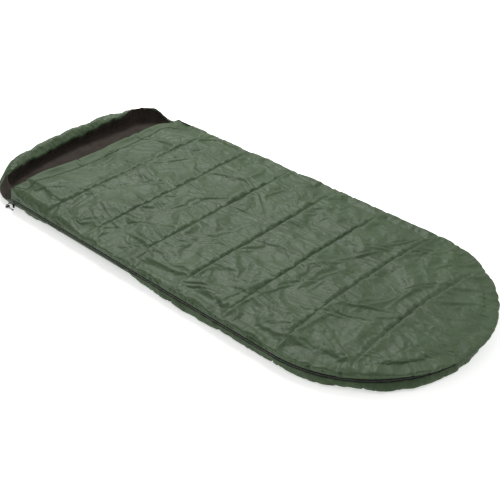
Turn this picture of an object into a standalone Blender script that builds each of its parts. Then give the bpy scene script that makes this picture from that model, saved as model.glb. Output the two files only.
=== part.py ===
"""Quilted semi-rectangular sleeping bag with a cupped hood, as separate pieces.

Frame: metres, +X from the hood to the foot, +Y to the sewn side, -Y to the zip
side, +Z up.  The origin is under the middle of the bag, on the surface it lies on.

The bag is two quilts laid face to face.  The base quilt runs on into the hood.
The top quilt is sewn to it along +Y and zipped to it along -Y and round the foot.
"""

from math import atan2, cos, hypot, pi, radians, sin

import bpy
from mathutils import Vector

# ---------------------------------------------------------------- sizes, metres
BAG_WIDTH = 0.90            # shell to shell, both quilts
QUILT_LENGTH = 1.84         # head hem of the top quilt to the tip of the foot
NECK_STRIP = 0.030          # base quilt showing between the head hem and the hood
HOOD_DEPTH = 0.220          # neck fold to the back of the hood
HOOD_CORNER_RADIUS = 0.190

BASE_LOFT = 0.032           # thickness of the base quilt and the hood floor
POCKET_GAP = 0.008          # clear height between the two linings, bag empty
TOP_LOFT = 0.046            # thickness of the top quilt
EDGE_RADIUS = 0.012         # rounding of the quilts' outer edges

SHELL_THICKNESS = 0.0015    # shell fabric, thickened to a workable solid
LINING_THICKNESS = 0.003    # fleece
GAP = 0.0003                # clearance between pieces that touch
HEM_WIDTH = 0.018
HEM_THICKNESS = 0.001

SIDE_AXIS_OFFSET = 0.002    # sewn-side fold line, outside the shell
OPEN_FLOOR_GAP = 0.0001     # opened top quilt above the surface the bag lies on

COLLAR_WIDTH = 0.055
COLLAR_HEIGHT_BACK = 0.085
COLLAR_HEIGHT_NECK = 0.020
COLLAR_LEAN = 0.014
COLLAR_RAMP_NEAR = 0.200    # length over which the collar rises, zip side
COLLAR_RAMP_FAR = 0.090     # the same on the sewn side
COLLAR_SHELL_END = radians(108)
COLLAR_LINING_START = radians(126)

CHANNEL_RADIUS = 0.0032
CHANNEL_BORE = 0.0019
CHANNEL_SEAT = 0.0012       # channel clear of the filling where the collar is lowest
DRAWCORD_RADIUS = 0.0014

TAPE_HEIGHT = 0.016
TAPE_THICKNESS = 0.0008
COIL_HEIGHT = 0.0022
COIL_DEPTH = 0.0026
COIL_SLIT = 0.0016          # gap between the two coil rows, for the slider's post
ZIP_STOP_LENGTH = 0.003
ZIP_END_STEPS = 2           # foot facets left sewn beyond the zip
STOP_FACE_DEPTH = 0.0046

SLIDER_LENGTH = 0.010
SLIDER_PLATE_HEIGHT = 0.009
SLIDER_PLATE_THICKNESS = 0.0015
SLIDER_RUNNING_GAP = 0.0005
SLIDER_BACK_HEIGHT = 0.0064
SLIDER_BACK_THICKNESS = 0.001
SLIDER_BACK_GAP = 0.0007
SLIDER_POST_LENGTH = 0.003
SLIDER_POST_HEIGHT = 0.0008
LUG_SPAN = 0.0074
LUG_BAR = 0.0012
LUG_STAND_OFF = 0.003       # bar centre to the front plate
HEAD_SLIDER_INSET = 0.014   # slider centre behind the head hem when fully closed
FOOT_SLIDER_ANGLE = radians(168)

RING_RADIUS = 0.0019        # centre line of the pull's wire loop
RING_WIRE_RADIUS = 0.0006
RING_STRAIGHT = 0.010
GRIP_START = 0.0085         # below the lug's bar
GRIP_LENGTH = 0.018
GRIP_WIDTH = 0.005
GRIP_DEPTH = 0.0072
GRIP_ROUNDING = 0.0012

EYELET_OFFSET = 0.014       # behind the neck fold
EYELET_HEIGHT = 0.018
EYELET_OUTER_RADIUS = 0.005
EYELET_INNER_RADIUS = 0.0022
EYELET_THICKNESS = 0.0012
TAIL_RADIUS = 0.0014

LOCK_OFFSET_X = -0.003      # lock centre from the eyelet
LOCK_OFFSET_Y = 0.0165      # lock centre outside the shell
LOCK_RADIUS = 0.0048
LOCK_FRONT = 0.0042         # cord hole to the barrel's open end
LOCK_REAR = 0.0088          # cord hole to the barrel's closed end
LOCK_WALL = 0.001
LOCK_PLUNGER_GAP = 0.0004
LOCK_BUTTON_PROUD = 0.004   # button standing out of the barrel
LOCK_BUTTON_TRAVEL = 0.003
LOCK_HOLE_RADIUS = 0.0019
LOCK_SPRING_RADIUS = 0.0022
LOCK_SPRING_WIRE = 0.00025
LOCK_SPRING_TURNS = 3
KNOT_RADIUS = 0.0032

FOOT_STEPS = 48             # facets round the foot
CORNER_STEPS = 7            # facets round each hood corner
BACK_STEPS = 8              # facets across the back of the hood
EDGE_STEPS = 2              # facets round a quilt's edge

# ------------------------------------------------------------- worked-out places
HALF_WIDTH = BAG_WIDTH / 2
TOTAL_LENGTH = HOOD_DEPTH + NECK_STRIP + QUILT_LENGTH
FOOT_TIP_X = TOTAL_LENGTH / 2
FOOT_CENTRE_X = FOOT_TIP_X - HALF_WIDTH
HEM_X = FOOT_TIP_X - QUILT_LENGTH
NECK_X = HEM_X - NECK_STRIP
TOP_BOTTOM = BASE_LOFT + POCKET_GAP
TOP_SURFACE = TOP_BOTTOM + TOP_LOFT
ZIP_HEIGHT = BASE_LOFT + POCKET_GAP / 2
FOLD_HEIGHT = (TOP_SURFACE + GAP + HEM_THICKNESS + OPEN_FLOOR_GAP) / 2
ZIP_END_ANGLE = pi * (FOOT_STEPS - ZIP_END_STEPS) / FOOT_STEPS

TAPE_BACK = GAP
TAPE_FRONT = TAPE_BACK + TAPE_THICKNESS
COIL_BACK = TAPE_FRONT + GAP
COIL_FRONT = COIL_BACK + COIL_DEPTH
PLATE_BACK = COIL_FRONT + SLIDER_RUNNING_GAP
PLATE_FRONT = PLATE_BACK + SLIDER_PLATE_THICKNESS
LUG_CENTRE = PLATE_FRONT + LUG_STAND_OFF


# ------------------------------------------------------------------ scene set-up
def clear_scene():
    """Remove whatever the scene holds at the start."""
    for thing in list(bpy.data.objects):
        bpy.data.objects.remove(thing, do_unlink=True)


def make_material(name, colour, roughness, metallic=0.0):
    """Return a plain Principled material."""
    material = bpy.data.materials.new(name)
    material.use_nodes = True
    shader = material.node_tree.nodes["Principled BSDF"]
    shader.inputs["Base Color"].default_value = (*colour, 1.0)
    shader.inputs["Roughness"].default_value = roughness
    shader.inputs["Metallic"].default_value = metallic
    material.diffuse_color = (*colour, 1.0)
    return material


# ---------------------------------------------------------------- mesh building
def add_object(name, vertices, faces, material, smooth=True):
    """Make a mesh object from points and faces, with its faces turned outwards."""
    mesh = bpy.data.meshes.new(name)
    mesh.from_pydata([tuple(v) for v in vertices], [], faces)
    mesh.materials.append(material)
    thing = bpy.data.objects.new(name, mesh)
    bpy.context.scene.collection.objects.link(thing)
    turn_outwards(mesh)
    if smooth:
        mesh.shade_smooth()
        mesh.set_sharp_from_angle(angle=radians(35))
    return thing


def signed_volume(mesh):
    """Return the volume that the mesh's faces enclose, negative if inside out."""
    mesh.calc_loop_triangles()
    total = 0.0
    for triangle in mesh.loop_triangles:
        a, b, c = (mesh.vertices[i].co for i in triangle.vertices)
        total += a.dot(b.cross(c)) / 6
    return total


def turn_outwards(mesh):
    """Flip a consistently wound closed mesh if it is inside out."""
    if signed_volume(mesh) < 0:
        mesh.flip_normals()


def skin_rings(name, rings, material, closed=False):
    """Join equal rings of points one after another into one closed body.

    The first and last rings are capped, unless closed is set, when the last ring
    is joined to the first.  Each four-sided patch is split from its lower corner
    on the first ring to the higher one on the next, so that two skins that face
    each other across a gap bend along the same lines.
    """
    count = len(rings[0])
    vertices = [point for ring in rings for point in ring]
    faces = []
    spans = len(rings) if closed else len(rings) - 1
    for r in range(spans):
        start = r * count
        following = ((r + 1) % len(rings)) * count
        for i in range(count):
            j = (i + 1) % count
            a, b, c, d = start + i, start + j, following + j, following + i
            if vertices[a][2] < vertices[b][2]:
                faces += [(a, b, c), (a, c, d)]
            else:
                faces += [(a, b, d), (b, c, d)]
    if not closed:
        faces.append(tuple(reversed(range(count))))
        last = (len(rings) - 1) * count
        faces.append(tuple(last + i for i in range(count)))
    return add_object(name, vertices, faces, material)


def box(name, low, high, material):
    """Make a box between two corners."""
    (x0, y0, z0), (x1, y1, z1) = low, high
    ring = [(x0, y0), (x1, y0), (x1, y1), (x0, y1)]
    rings = [[(x, y, z) for x, y in ring] for z in (z0, z1)]
    return skin_rings(name, rings, material)


def circle(radius, steps, phase=0.0):
    """Return points of a circle in its own plane."""
    turns = [2 * pi * (i + phase) / steps for i in range(steps)]
    return [(radius * cos(a), radius * sin(a)) for a in turns]


def add_axis(name, place):
    """Add an empty on a joint's axis."""
    axis = bpy.data.objects.new(name, None)
    bpy.context.scene.collection.objects.link(axis)
    axis.location = place
    return axis


def hang_on(axis, prefix):
    """Parent every loose piece whose name starts with the prefix to an axis."""
    for thing in bpy.data.objects:
        if thing.name.startswith(prefix) and thing.type != "EMPTY" and thing.parent is None:
            thing.parent = axis
            thing.location = thing.location - axis.location


def helper(thing):
    """Mark an object as a cutter or a joined-on lump that isn't a piece itself."""
    thing.hide_render = True
    thing.display_type = "WIRE"
    return thing


def boolean(thing, other, operation):
    """Cut or join another closed shape."""
    modifier = thing.modifiers.new(operation.lower(), "BOOLEAN")
    modifier.operation = operation
    modifier.solver = "EXACT"
    modifier.object = helper(other)


def bevel(thing, width):
    """Round the edges of a piece."""
    modifier = thing.modifiers.new("rounding", "BEVEL")
    modifier.width = width
    modifier.segments = 2
    modifier.limit_method = "ANGLE"


# ------------------------------------------------------------- the bag's outlines
def foot_outline(inset):
    """Return the quilt's outline from the neck fold round the foot, moved inwards."""
    return quilt_outline(NECK_X + GAP / 2, inset)


def quilt_outline(head_x, inset):
    """Return a straight head edge, straight sides and a half-round foot."""
    radius = HALF_WIDTH - inset
    points = [(head_x + inset, -radius)]
    for i in range(FOOT_STEPS + 1):
        angle = pi * i / FOOT_STEPS
        points.append((FOOT_CENTRE_X + radius * sin(angle), -radius * cos(angle)))
    points.append((head_x + inset, radius))
    return points


def hood_curve():
    """Return the hood's edge as (x, y, outward x, outward y), zip side to sewn side.

    It is a three-centred arch: two corner arcs and a flatter back between them.
    """
    radius = HOOD_CORNER_RADIUS
    rise = HALF_WIDTH - radius
    run = HOOD_DEPTH - radius
    setback = (rise * rise - run * run) / (2 * run)
    back_radius = HOOD_DEPTH + setback
    meeting = atan2(rise, setback)
    edge = []
    for i in range(CORNER_STEPS):
        angle = pi / 2 + (meeting - pi / 2) * i / CORNER_STEPS
        edge.append(arc_point(NECK_X, -rise, radius, angle, -1))
    for i in range(BACK_STEPS + 1):
        angle = meeting - 2 * meeting * i / BACK_STEPS
        edge.append(arc_point(NECK_X + setback, 0.0, back_radius, angle, -1))
    for i in range(1, CORNER_STEPS + 1):
        angle = meeting + (pi / 2 - meeting) * i / CORNER_STEPS
        edge.append(arc_point(NECK_X, rise, radius, angle, 1))
    return edge


def arc_point(centre_x, centre_y, radius, angle, side):
    """Return a point and its outward direction, on an arc that bulges towards -X."""
    out_x = -cos(angle)
    out_y = side * sin(angle)
    return (centre_x + radius * out_x, centre_y + radius * out_y, out_x, out_y)


def hood_outline(inset):
    """Return the hood floor's outline, moved inwards."""
    neck = NECK_X - GAP / 2 - inset
    points = [(neck, -HALF_WIDTH + inset)]
    for x, y, out_x, out_y in hood_curve():
        points.append((min(x - inset * out_x, neck), y - inset * out_y))
    points.append((neck, HALF_WIDTH - inset))
    return points[1:-1]


def side_path(start_x, end_angle):
    """Return the zip's line as (x, y, outward x, outward y), head end first."""
    path = [(start_x, -HALF_WIDTH, 0.0, -1.0)]
    for i in range(FOOT_STEPS + 1):
        angle = pi * i / FOOT_STEPS
        if angle > end_angle + 1e-6:
            break
        out_x, out_y = sin(angle), -cos(angle)
        x = FOOT_CENTRE_X + HALF_WIDTH * out_x
        path.append((x, HALF_WIDTH * out_y, out_x, out_y))
    return path


def strip(name, path, near, far, low, high, material):
    """Carry an upright rectangle along a path: near and far are offsets outwards."""
    rings = []
    for x, y, out_x, out_y in path:
        section = [(near, low), (far, low), (far, high), (near, high)]
        rings.append([(x + out_x * u, y + out_y * u, z) for u, z in section])
    return skin_rings(name, rings, material)


# ----------------------------------------------------------------- quilted slabs
def edge_profile(offset, height):
    """Return (inset, z) up a quilt's rounded edge, at a depth inside its surface."""
    profile = []
    for i in range(EDGE_STEPS + 1):
        angle = (pi / 2) * i / EDGE_STEPS
        reach = EDGE_RADIUS - offset
        profile.append((EDGE_RADIUS - reach * sin(angle), EDGE_RADIUS - reach * cos(angle)))
    profile.append((offset, height))
    return profile


def quilt(prefix, outline, loft, place, materials):
    """Make a quilt's shell, filling and lining; place turns a height into its z."""
    lining_face = loft - LINING_THICKNESS
    outer = edge_profile(0.0, loft)
    inner = edge_profile(SHELL_THICKNESS, loft)
    filled = edge_profile(SHELL_THICKNESS + GAP, lining_face - GAP)
    flat = SHELL_THICKNESS + GAP
    lined = [(flat, lining_face), (flat, loft)]

    def rings(profile):
        return [[(x, y, place(z)) for x, y in outline(inset)] for inset, z in profile]

    skin_rings(prefix + "_shell", rings(outer + inner[::-1]), materials["shell"])
    skin_rings(prefix + "_filling", rings(filled), materials["filling"])
    skin_rings(prefix + "_lining", rings(lined), materials["lining"])


def make_base(materials):
    """Make the base quilt: floor side down, lining up."""
    quilt("base", foot_outline, BASE_LOFT, lambda z: z, materials)


def make_top(materials):
    """Make the top quilt and the hem along its head edge."""
    quilt("top", lambda inset: quilt_outline(HEM_X, inset), TOP_LOFT,
          lambda z: TOP_SURFACE - z, materials)
    reach = HALF_WIDTH - EDGE_RADIUS
    low = (HEM_X + EDGE_RADIUS, -reach, TOP_SURFACE + GAP)
    high = (HEM_X + EDGE_RADIUS + HEM_WIDTH, reach, TOP_SURFACE + GAP + HEM_THICKNESS)
    box("top_head_hem", low, high, materials["hem"])


def make_hood_floor(materials):
    """Make the flat part of the hood, which carries the base quilt on past the neck."""
    quilt("hood_floor", hood_outline, BASE_LOFT, lambda z: z, materials)


# ------------------------------------------------------------------- hood collar
def collar_stations():
    """Return the collar's stations as (x, y, outward x, outward y, height)."""
    edge = hood_curve()
    lengths = [0.0]
    for (x0, y0, *_), (x1, y1, *_) in zip(edge, edge[1:]):
        lengths.append(lengths[-1] + hypot(x1 - x0, y1 - y0))
    stations = []
    for (x, y, out_x, out_y), along in zip(edge, lengths):
        near = ease(along / COLLAR_RAMP_NEAR)
        far = ease((lengths[-1] - along) / COLLAR_RAMP_FAR)
        rise = COLLAR_HEIGHT_BACK - COLLAR_HEIGHT_NECK
        height = COLLAR_HEIGHT_NECK + rise * min(near, far)
        stations.append((min(x, NECK_X - GAP / 2), y, out_x, out_y, height))
    return stations


def ease(share):
    """Rise smoothly from 0 to 1."""
    share = max(0.0, min(1.0, share))
    return share * share * (3 - 2 * share)


def collar_point(station, angle, offset):
    """Return the collar's surface point at an angle over its top, at a depth inside."""
    x, y, out_x, out_y, height = station
    half = COLLAR_WIDTH / 2
    inwards = half - (half - offset) * cos(angle)
    up = (height - offset) * sin(angle)
    inwards += COLLAR_LEAN * up / COLLAR_HEIGHT_BACK
    return (x - out_x * inwards, y - out_y * inwards, BASE_LOFT + GAP + up)


def arc_angles(start, end, steps):
    """Return evenly spaced angles, both ends included."""
    return [start + (end - start) * i / steps for i in range(steps + 1)]


def crescent(name, angles, material):
    """Make a skin on the collar over a run of angles across its top."""
    rings = []
    for station in collar_stations():
        outside = [collar_point(station, a, 0.0) for a in angles]
        inside = [collar_point(station, a, SHELL_THICKNESS) for a in reversed(angles)]
        rings.append(outside + inside)
    skin_rings(name, rings, material)


def make_collar(materials):
    """Make the padded collar that stands round the hood, and its drawcord channel."""
    depth = SHELL_THICKNESS + GAP
    shell_angles = arc_angles(0.0, COLLAR_SHELL_END, 6)
    lining_angles = arc_angles(COLLAR_LINING_START, pi, 4)
    crescent("hood_collar_shell", shell_angles, materials["shell"])
    crescent("hood_collar_lining", lining_angles, materials["lining"])
    angles = shell_angles + lining_angles
    rings = [[collar_point(s, a, depth) for a in angles] for s in collar_stations()]
    skin_rings("hood_collar_filling", rings, materials["filling"])

    middle = (COLLAR_SHELL_END + COLLAR_LINING_START) / 2
    seat = depth - CHANNEL_SEAT - CHANNEL_RADIUS
    centres = [Vector(collar_point(s, middle, seat)) for s in collar_stations()]
    outer = tube_rings(centres, CHANNEL_RADIUS, 8)
    bore = tube_rings(centres, CHANNEL_BORE, 8)
    skin_rings("hood_drawcord_channel", outer + bore[::-1], materials["shell"], closed=True)
    cord = tube_rings(centres, DRAWCORD_RADIUS, 6)
    skin_rings("hood_drawcord", cord, materials["cord"])


def tube_rings(centres, radius, steps):
    """Return rings of points round a line that runs roughly level."""
    rings = []
    for i, centre in enumerate(centres):
        before = centres[max(i - 1, 0)]
        after = centres[min(i + 1, len(centres) - 1)]
        along = (after - before).normalized()
        if i in (0, len(centres) - 1):
            along = Vector((-1.0 if i == 0 else 1.0, 0.0, 0.0))
        side = along.cross(Vector((0, 0, 1))).normalized()
        up = side.cross(along)
        ring = [centre + side * a + up * b for a, b in circle(radius, steps)]
        rings.append([tuple(p) for p in ring])
    return rings


# --------------------------------------------------------------------------- zip
def make_zip(materials):
    """Make both tapes, both coil rows, the stops and the sewn-side binding."""
    path = side_path(HEM_X, ZIP_END_ANGLE)
    slit = COIL_SLIT / 2
    for half, side in (("base", -1), ("top", 1)):
        edge = ZIP_HEIGHT + side * slit
        tape_end = ZIP_HEIGHT + side * TAPE_HEIGHT
        coil_end = edge + side * COIL_HEIGHT
        strip(half + "_zip_tape", path, TAPE_BACK, TAPE_FRONT, *sorted((edge, tape_end)),
              materials["tape"])
        strip(half + "_zip_coil", path, COIL_BACK, COIL_FRONT, *sorted((edge, coil_end)),
              materials["coil"])
        low = (HEM_X - GAP - ZIP_STOP_LENGTH, -HALF_WIDTH - COIL_FRONT, min(edge, coil_end))
        high = (HEM_X - GAP, -HALF_WIDTH - TAPE_BACK, max(edge, coil_end))
        box(half + "_zip_head_stop", low, high, materials["metal"])
    make_bottom_stop(materials)
    far_side = side_path(HEM_X, pi)[-ZIP_END_STEPS:]
    binding = far_side + [(NECK_X + GAP, HALF_WIDTH, 0.0, 1.0)]
    strip("side_seam_binding", binding, GAP, GAP + HEM_THICKNESS,
          ZIP_HEIGHT - TAPE_HEIGHT, BASE_LOFT, materials["hem"])


def make_bottom_stop(materials):
    """Make the stop just past the foot end of the coil rows."""
    reach = HALF_WIDTH + STOP_FACE_DEPTH
    start = ZIP_END_ANGLE + GAP / HALF_WIDTH
    end = start + ZIP_STOP_LENGTH / HALF_WIDTH
    half = COIL_SLIT / 2 + COIL_HEIGHT
    rings = []
    for angle in (start, end):
        ring = []
        for radius, z in ((HALF_WIDTH + GAP, -half), (reach, -half),
                          (reach, half), (HALF_WIDTH + GAP, half)):
            x = FOOT_CENTRE_X + radius * sin(angle)
            ring.append((x, -radius * cos(angle), ZIP_HEIGHT + z))
        rings.append(ring)
    skin_rings("zip_foot_stop", rings, materials["metal"])


def make_slider(name, parent, position, materials):
    """Make a zip slider with its wire loop and moulded grip.

    Locally +X is along the zip and -Y is outwards.  The parent is an empty on the
    slider's joint, and the pull's own parent is an empty on the lug's bar.
    """
    half_length = SLIDER_LENGTH / 2
    body = box(name, (-half_length, -PLATE_FRONT, -SLIDER_PLATE_HEIGHT / 2),
               (half_length, -PLATE_BACK, SLIDER_PLATE_HEIGHT / 2), materials["metal"])
    overlap = SLIDER_PLATE_THICKNESS / 3
    back_near = -TAPE_BACK + SLIDER_BACK_GAP
    back_far = back_near + SLIDER_BACK_THICKNESS
    post = box(name + "_post",
               (-SLIDER_POST_LENGTH / 2, -PLATE_BACK - overlap, -SLIDER_POST_HEIGHT / 2),
               (SLIDER_POST_LENGTH / 2, back_near + overlap, SLIDER_POST_HEIGHT / 2),
               materials["metal"])
    back = box(name + "_back", (-half_length, back_near, -SLIDER_BACK_HEIGHT / 2),
               (half_length, back_far, SLIDER_BACK_HEIGHT / 2), materials["metal"])
    lug = box(name + "_lug",
              (-LUG_SPAN / 2, -LUG_CENTRE - LUG_BAR / 2, -LUG_BAR / 2),
              (LUG_SPAN / 2, -PLATE_FRONT + overlap, LUG_BAR / 2), materials["metal"])
    window = box(name + "_window",
                 (-LUG_SPAN / 2 + LUG_BAR, -LUG_CENTRE + LUG_BAR / 2, -LUG_BAR),
                 (LUG_SPAN / 2 - LUG_BAR, -PLATE_FRONT, LUG_BAR), materials["metal"])
    boolean(lug, window, "DIFFERENCE")
    for part in (post, back, lug):
        boolean(body, part, "UNION")

    hinge = add_axis(name + "_pull_axis", position + Vector((0.0, -LUG_CENTRE, 0.0)))
    loop = make_pull_loop(name + "_pull_loop", RING_WIRE_RADIUS, materials["metal"])
    grip = box(name + "_pull_grip",
               (-GRIP_WIDTH / 2, -GRIP_DEPTH / 2, -GRIP_START - GRIP_LENGTH),
               (GRIP_WIDTH / 2, GRIP_DEPTH / 2, -GRIP_START), materials["plastic"])
    bevel(grip, GRIP_ROUNDING)
    slot = make_pull_loop(name + "_pull_slot", RING_WIRE_RADIUS + GAP, materials["metal"])
    boolean(grip, slot, "DIFFERENCE")

    hinge.parent = parent
    for part in (body, post, back, lug, window):
        part.parent = parent
        part.location = position
    for part in (loop, grip, slot):
        part.parent = hinge


def make_pull_loop(name, wire, material):
    """Make the wire loop that hangs on the lug: a round-ended loop in the YZ plane."""
    turns = 6
    line = []
    for i in range(turns + 1):
        angle = pi * i / turns
        line.append((RING_RADIUS * cos(angle), RING_RADIUS * sin(angle)))
    for i in range(turns + 1):
        angle = pi + pi * i / turns
        line.append((RING_RADIUS * cos(angle), RING_RADIUS * sin(angle) - RING_STRAIGHT))
    rings = []
    count = len(line)
    for i, (y, z) in enumerate(line):
        before, after = line[i - 1], line[(i + 1) % count]
        along = Vector((0.0, after[0] - before[0], after[1] - before[1])).normalized()
        side = Vector((1.0, 0.0, 0.0))
        up = side.cross(along)
        centre = Vector((0.0, y, z))
        rings.append([tuple(centre + side * a + up * b) for a, b in circle(wire, 6)])
    return skin_rings(name, rings, material, closed=True)


def make_sliders(materials):
    """Place the head slider on the straight side and the foot slider on the arc."""
    head = add_axis("head_slider_track", (HEM_X + HEAD_SLIDER_INSET, -HALF_WIDTH, ZIP_HEIGHT))
    make_slider("zip_head_slider", head, Vector((0.0, 0.0, 0.0)), materials)

    pivot = add_axis("foot_slider_pivot", (FOOT_CENTRE_X, 0.0, ZIP_HEIGHT))
    pivot.rotation_euler = (0.0, 0.0, FOOT_SLIDER_ANGLE)
    make_slider("zip_foot_slider", pivot, Vector((0.0, -HALF_WIDTH, 0.0)), materials)


# ---------------------------------------------------------------- drawcord's end
def eyelet_place():
    """Return where the drawcord comes out of the base quilt's side."""
    return Vector((NECK_X + EYELET_OFFSET, -HALF_WIDTH, EYELET_HEIGHT))


def lock_place():
    """Return the middle of the cord lock's cord hole."""
    eyelet = eyelet_place()
    return Vector((eyelet.x + LOCK_OFFSET_X, -HALF_WIDTH - LOCK_OFFSET_Y, LOCK_RADIUS + GAP))


def make_eyelet(materials):
    """Make the metal eyelet in the side of the base quilt."""
    place = eyelet_place()
    rings = []
    back = place.y - GAP
    front = back - EYELET_THICKNESS
    profile = [(EYELET_OUTER_RADIUS, back), (EYELET_OUTER_RADIUS, front),
               (EYELET_INNER_RADIUS, front), (EYELET_INNER_RADIUS, back)]
    for radius, y in profile:
        rings.append([(place.x + a, y, place.z + b) for a, b in circle(radius, 16)])
    skin_rings("drawcord_eyelet", rings, materials["metal"], closed=True)


def tail_route():
    """Return the points that the drawcord's free tail passes through, by hand.

    Out of the eyelet, down the side of the quilt to the floor, level through the
    cord lock, and on to the knot.
    """
    eyelet = eyelet_place()
    lock = lock_place()
    low = TAIL_RADIUS + GAP
    return [
        eyelet + Vector((0.0, -GAP, 0.0)),
        eyelet + Vector((0.0, -0.0035, 0.0)),
        eyelet + Vector((-0.0010, -0.0070, -0.0008)),
        eyelet + Vector((-0.0040, -0.0102, -0.0038)),
        eyelet + Vector((-0.0085, -0.0130, -0.0085)),
        lock + Vector((-0.0115, 0.0016, 0.0006)),
        lock + Vector((-0.0075, 0.0003, 0.0000)),
        lock + Vector((-0.0035, 0.0000, 0.0000)),
        lock + Vector((0.0040, 0.0000, 0.0000)),
        lock + Vector((0.0200, 0.0000, 0.0000)),
        lock + Vector((0.0240, 0.0000, -0.0008)),
        Vector((lock.x + 0.0290, lock.y + 0.0004, low + 0.0010)),
        Vector((lock.x + 0.0335, lock.y + 0.0008, KNOT_RADIUS + GAP)),
    ]


def smooth_line(route, spacing):
    """Return evenly dense points on a smooth curve through the route's points."""
    points = []
    for i in range(len(route) - 1):
        before = route[max(i - 1, 0)]
        start, end = route[i], route[i + 1]
        after = route[min(i + 2, len(route) - 1)]
        steps = max(1, round((end - start).length / spacing))
        for k in range(steps):
            t = k / steps
            points.append(0.5 * ((2 * start) + (end - before) * t
                                 + (2 * before - 5 * start + 4 * end - after) * t * t
                                 + (3 * start - before - 3 * end + after) * t ** 3))
    points.append(route[-1])
    return points


def make_tail(materials):
    """Make the free tail of the drawcord and the knot at its end."""
    route = tail_route()
    knot_gap = KNOT_RADIUS + GAP
    along = (route[-1] - route[-2]).normalized()
    end = route[-1] - along * knot_gap
    line = smooth_line(route[:-1] + [end], 2.2 * 2 * TAIL_RADIUS)
    curve = bpy.data.curves.new("drawcord_tail", "CURVE")
    curve.dimensions = "3D"
    curve.bevel_depth = TAIL_RADIUS
    curve.bevel_resolution = 2
    curve.use_fill_caps = True
    spline = curve.splines.new("POLY")
    spline.points.add(len(line) - 1)
    for point, place in zip(spline.points, line):
        point.co = (*place, 1.0)
    curve.materials.append(materials["cord"])
    tail = bpy.data.objects.new("drawcord_tail", curve)
    bpy.context.scene.collection.objects.link(tail)

    rings = []
    for i in range(1, 8):
        angle = pi * i / 8
        across = KNOT_RADIUS * sin(angle)
        x = route[-1].x - KNOT_RADIUS * cos(angle)
        rings.append([(x, route[-1].y + a, route[-1].z + b) for a, b in circle(across, 10)])
    skin_rings("drawcord_knot", rings, materials["cord"])


def cylinder_y(name, centre, radius, low, high, steps, material):
    """Make a cylinder along Y between two y values measured from its centre."""
    rings = []
    for y in (low, high):
        rings.append([(centre.x + a, centre.y + y, centre.z + b)
                      for a, b in circle(radius, steps)])
    return skin_rings(name, rings, material)


def make_cord_lock(materials):
    """Make the cord lock: barrel, sprung plunger and the spring inside.

    The barrel lies along Y with its button outwards, and the cord runs through a
    cross hole along X.
    """
    centre = lock_place()
    bore = LOCK_RADIUS - LOCK_WALL
    bore_end = LOCK_REAR - LOCK_WALL
    barrel = cylinder_y("cord_lock_barrel", centre, LOCK_RADIUS, -LOCK_FRONT, LOCK_REAR, 20,
                        materials["plastic"])
    cavity = cylinder_y("cord_lock_cavity", centre, bore, -LOCK_FRONT - LOCK_WALL,
                        bore_end, 20, materials["plastic"])
    boolean(barrel, cavity, "DIFFERENCE")
    cross_hole = cross_cylinder("cord_lock_hole", centre, LOCK_HOLE_RADIUS, 0.0, materials)
    boolean(barrel, cross_hole, "DIFFERENCE")

    shaft = bore - LOCK_PLUNGER_GAP
    inner_end = LOCK_HOLE_RADIUS + LOCK_WALL
    plunger = cylinder_y("cord_lock_plunger", centre, shaft,
                         -LOCK_FRONT - LOCK_BUTTON_PROUD, inner_end, 20, materials["plastic"])
    slot = cross_cylinder("cord_lock_slot", centre, LOCK_HOLE_RADIUS, LOCK_BUTTON_TRAVEL,
                          materials)
    boolean(plunger, slot, "DIFFERENCE")

    start = inner_end + GAP + LOCK_SPRING_WIRE
    rise = bore_end - GAP - LOCK_SPRING_WIRE - start
    steps = 10 * LOCK_SPRING_TURNS
    line = []
    for i in range(steps + 1):
        angle = 2 * pi * LOCK_SPRING_TURNS * i / steps
        line.append(centre + Vector((LOCK_SPRING_RADIUS * cos(angle), start + rise * i / steps,
                                     LOCK_SPRING_RADIUS * sin(angle))))
    rings = []
    for i, point in enumerate(line):
        along = (line[min(i + 1, steps)] - line[max(i - 1, 0)]).normalized()
        side = along.cross(Vector((0, 1, 0))).normalized()
        up = side.cross(along)
        rings.append([tuple(point + side * a + up * b) for a, b in circle(LOCK_SPRING_WIRE, 5)])
    skin_rings("cord_lock_spring", rings, materials["metal"])


def cross_cylinder(name, centre, radius, stretch, materials):
    """Make a round-ended slot cutter along X, stretched towards -Y."""
    outline = []
    for i in range(9):
        angle = pi * i / 8
        outline.append((radius * sin(angle), radius * cos(angle)))
    for i in range(9):
        angle = pi + pi * i / 8
        outline.append((radius * sin(angle) - stretch, radius * cos(angle)))
    if stretch == 0.0:
        outline = circle(radius, 16)
    reach = LOCK_RADIUS * 1.5
    rings = []
    for x in (-reach, reach):
        rings.append([(centre.x + x, centre.y + y, centre.z + z) for y, z in outline])
    return skin_rings(name, rings, materials["plastic"])


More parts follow.
